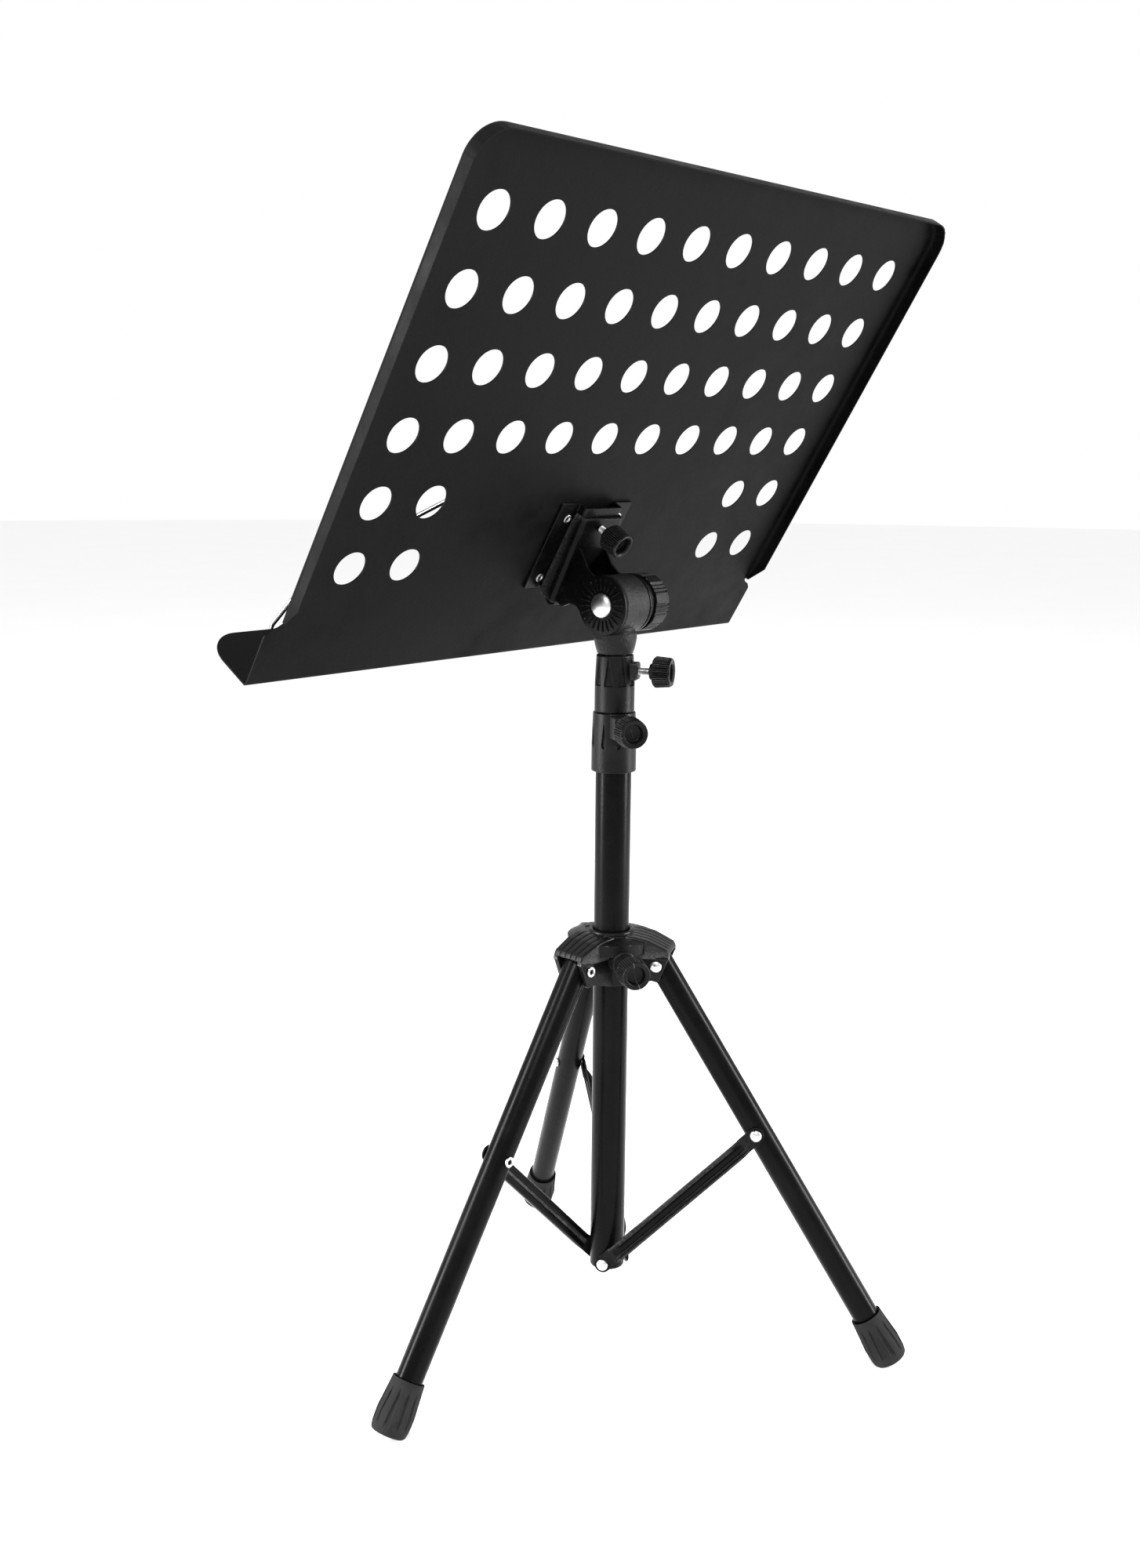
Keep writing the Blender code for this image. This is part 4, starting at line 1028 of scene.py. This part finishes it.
def desk_bracket():
    """The hat section riveted behind the desk, with generous bends, and its four rivets."""
    half = [(17.8, 7.7, 1.2), (17.8, 0.8, 2.4), (37.0, 0.8, 0.4)]
    half += [(37.0, 2.3, 0.4), (19.3, 2.3, 1.2), (19.3, 9.2, 2.6)]
    outline = [(x, -behind, bend) for x, behind, bend in half]
    outline += [(-x, -behind, bend) for x, behind, bend in half[::-1]]
    shape = slab(soft(outline, 1.0, True, 6), -139.0, -71.5, "Y", 0.25)
    piece("desk_hat_section", shape, DESK, "powder_coat", "desk_bracket")
    shank = 2.2
    pin = [
        (0.0, -1.0), (1.25, -1.0, 0.2), (1.25, -3.3, 0.3), (1.9, -3.9, 0.6), (3.2, -3.8, 0.5),
        (3.35, -2.65, 0.3), (shank, -2.6, 0.0), (shank, 0.8, 0.0), (3.6, 0.8, 0.3),
        (3.4, 1.3, 0.4), (2.4, 1.5, 0.5), (0.0, 1.5),
    ]
    spots = [(side * RIVET_X, up) for side in (-1, 1) for up in RIVET_Y]
    for number, spot in enumerate(spots, start=1):
        shape = turned(lathe(soft(pin, 0.3), 36), shifted(*spot))
        piece(f"desk_{number}_pin", shape, DESK, "zinc_plate", f"desk_rivet_{number}")


def rounded(points, radius):
    """A route in space with its corners rounded."""
    steps = 10
    made = [points[0]]
    for before, corner, after in zip(points, points[1:], points[2:]):
        back = before - corner
        ahead = after - corner
        half = 0.5 * back.angle(ahead)
        reach = min(radius / math.tan(half), 0.45 * back.length, 0.45 * ahead.length)
        start = corner + back.normalized() * reach
        end = corner + ahead.normalized() * reach
        for step in range(steps + 1):
            share = step / steps
            made.append(start.lerp(corner, share).lerp(corner.lerp(end, share), share))
    made.append(points[-1])
    return made


def wire_ring(centre, along, across, radius):
    third = along.cross(across)
    ring = []
    for step in range(WIRE_SIDES):
        angle = 2 * math.pi * step / WIRE_SIDES
        ring.append(centre + radius * (math.cos(angle) * across + math.sin(angle) * third))
    return ring


# Along a wire's end, and the share of its radius there.
WIRE_TIP = [(0.0, 0.45), (0.35, 0.85), (0.8, 1.0)]


def page_holder(name, side):
    """A bent wire with rounded tips, swept as one skin along its route."""
    x, out = WIRE_PIVOT
    under = -0.5 - WIRE_R - 1.0
    beyond = SHELF_DEPTH + WIRE_R + GAP
    route = [
        shelf_point(x, out, 3.0),
        shelf_point(x, out, under),
        shelf_point(x - 11.5, beyond, under),
        shelf_point(x - 11.0, beyond, 2.6),
        Vector((181.4, -146.3, 47.0)),
        Vector((99.0, -49.6, 5.5)),
    ]
    points = rounded([Vector((side * point.x, point.y, point.z)) for point in route], 3.0)
    last = len(points) - 1
    across = Vector((0.0, 1.0, 0.0))
    sections = []
    for index, point in enumerate(points):
        along = (points[min(index + 1, last)] - points[max(index - 1, 0)]).normalized()
        across = (across - along * across.dot(along)).normalized()
        rings = [(0.0, 1.0)]
        if index == 0:
            rings = WIRE_TIP
        elif index == last:
            rings = [(-step, share) for step, share in WIRE_TIP[::-1]]
        for step, share in rings:
            sections.append(wire_ring(point + along * step, along, across, WIRE_R * share))
    piece(name + "_wire", loft(sections), DESK, "wire_plate", name)


# ---------------------------------------------------------------- the stand


def build_stand():
    tube("mast_lower_tube", LOWER_TUBE_R, low=MAST_FOOT_Z, high=440.0, node="lower_tube")
    tube("mast_middle_tube", MIDDLE_TUBE_R, low=75.0, high=480.0, node="middle_tube")
    tube("mast_top_tube", TOP_TUBE_R, low=95.0, high=512.0, node="top_tube")
    end_cap()
    lower_screw = outward(56.0, 453.2)
    upper_screw = outward(113.8, 490.8)
    lower_flutes = flutes(
        phase=10.4, top=455.6, bottom=437.9, widths=(0.0, 6.0), depth=1.4, radius=14.0,
        round_end=3.0,
    )
    upper_flutes = flutes(
        phase=20.0, top=499.4, bottom=480.8, widths=(2.5, 13.5), depth=1.5, radius=12.2,
        round_end=0.0,
    )
    clutch(
        "lower_clutch_sleeve", span=(420.8, 462.2), radii=(15.6, 14.8), bores=(12.8, 11.3),
        tube_top=440.3, boss=(7.5, 25.5), screw=lower_screw, relief=lower_flutes,
        node="lower_clutch",
    )
    clutch(
        "upper_clutch_sleeve", span=(462.5, 501.8), radii=(13.8, 12.8), bores=(11.3, 9.8),
        tube_top=480.3, boss=(6.0, 17.0), screw=upper_screw, relief=upper_flutes,
        node="upper_clutch",
    )
    hub_screw = outward(HUB_AZIMUTH, HUB_SCREW_Z)
    thumb_screw("lower_clutch", lower_screw, tip=11.3, span=(28.0, 45.5))
    thumb_screw("upper_clutch", upper_screw, tip=9.8, span=(25.1, 40.5))
    thumb_screw("hub", hub_screw, tip=12.8, span=(43.5, 60.8))
    thumb_screw("desk", DESK_SCREW, tip=9.5, span=(18.9, 36.0), radius=9.7)
    hub()
    for number, azimuth in enumerate(LEG_AZIMUTHS, start=1):
        leg(number, azimuth)
        brace(number, azimuth)
    tilt_head()
    tilt_bracket()
    tilt_knob()
    desk()
    desk_bracket()
    page_holder("page_holder_left", -1)
    page_holder("page_holder_right", 1)


def dress_frame():
    """Gives the CAD nodes that stay, the nuts and the guide bushes, their finishes."""
    for name, finish_name in (
        ("lower_clutch_nut", "zinc_plate"),
        ("upper_clutch_nut", "zinc_plate"),
        ("hub_nut", "zinc_plate"),
        ("tilt_knob_nut", "zinc_plate"),
        ("middle_tube_bush", "black_nylon"),
        ("top_tube_bush", "black_nylon"),
    ):
        for slot in frame["nodes"][name].material_slots:
            slot.material = FINISHES[finish_name]


# ---------------------------------------------------------------- studio


# In metres, and the strip is how wide and how tall the lights beside the stand are.
FLOOR_RADIUS = 14.0
STRIP = (0.26, 1.7)


def floor():
    shape = bmesh.new()
    bmesh.ops.create_circle(shape, cap_ends=True, segments=128, radius=FLOOR_RADIUS)
    mesh = bpy.data.meshes.new("floor")
    shape.to_mesh(mesh)
    shape.free()
    obj = bpy.data.objects.new("floor", mesh)
    bpy.context.scene.collection.objects.link(obj)
    made = bpy.data.materials.new("floor_paint")
    made.use_nodes = True
    shader = made.node_tree.nodes["Principled BSDF"]
    place = node_of(made.node_tree, "ShaderNodeTexCoord").outputs["Object"]
    mottle = noise_of(made.node_tree, place, 3.0)
    colour = mixed(made.node_tree, mottle, (0.91, 0.91, 0.91), (0.94, 0.94, 0.94))
    made.node_tree.links.new(colour, shader.inputs["Base Color"])
    shader.inputs["Roughness"].default_value = 0.9
    shader.inputs["Specular IOR Level"].default_value = 0.1
    mesh.materials.append(made)


def softbox(name, place, target, size, power):
    """A rectangular light, in metres and watts, aimed at a height straight above the origin."""
    light = bpy.data.lights.new(name, "AREA")
    light.shape = "RECTANGLE"
    light.size, light.size_y = size
    light.energy = power
    obj = bpy.data.objects.new(name, light)
    obj.location = place
    obj.visible_camera = False
    aim = Vector((0.0, 0.0, target)) - Vector(place)
    obj.rotation_euler = aim.to_track_quat("-Z", "Y").to_euler()
    bpy.context.scene.collection.objects.link(obj)


def studio():
    """A white surround, and narrow side lights for the bands that run down the tubes."""
    floor()
    bpy.context.scene.view_settings.view_transform = "Standard"
    world = bpy.data.worlds.new("studio")
    bpy.context.scene.world = world
    world.use_nodes = True
    world.node_tree.nodes["Background"].inputs["Color"].default_value = (1.0, 1.0, 1.0, 1.0)
    world.node_tree.nodes["Background"].inputs["Strength"].default_value = 1.0
    softbox("key", place=(1.75, -1.35, 0.95), target=0.45, size=STRIP, power=125.0)
    softbox("fill", place=(-1.5, 1.9, 0.95), target=0.45, size=STRIP, power=122.0)
    softbox("front", place=(1.5, 0.75, 1.95), target=0.5, size=(0.45, 0.45), power=42.0)
    softbox("top", place=(0.3, 0.2, 2.6), target=0.4, size=(1.4, 1.4), power=9.0)


def camera():
    """The photo's camera, as it was solved from the stand's known points."""
    data = bpy.data.cameras.new("camera")
    data.lens = 37.75
    data.sensor_width = 36.0
    data.sensor_fit = "AUTO"
    data.clip_start = 0.01
    obj = bpy.data.objects.new("camera", data)
    right = Vector((-0.6439, 0.7651, 0.0081))
    up = Vector((-0.1477, -0.1347, 0.9798))
    view = Vector((-0.7507, -0.6297, -0.1997))
    turn = Matrix((right, up, -view)).transposed().to_4x4()
    obj.matrix_world = Matrix.Translation((0.8815, 0.69173, 0.64244)) @ turn
    bpy.context.scene.collection.objects.link(obj)
    bpy.context.scene.camera = obj


camera()
studio()
build_stand()
dress_frame()
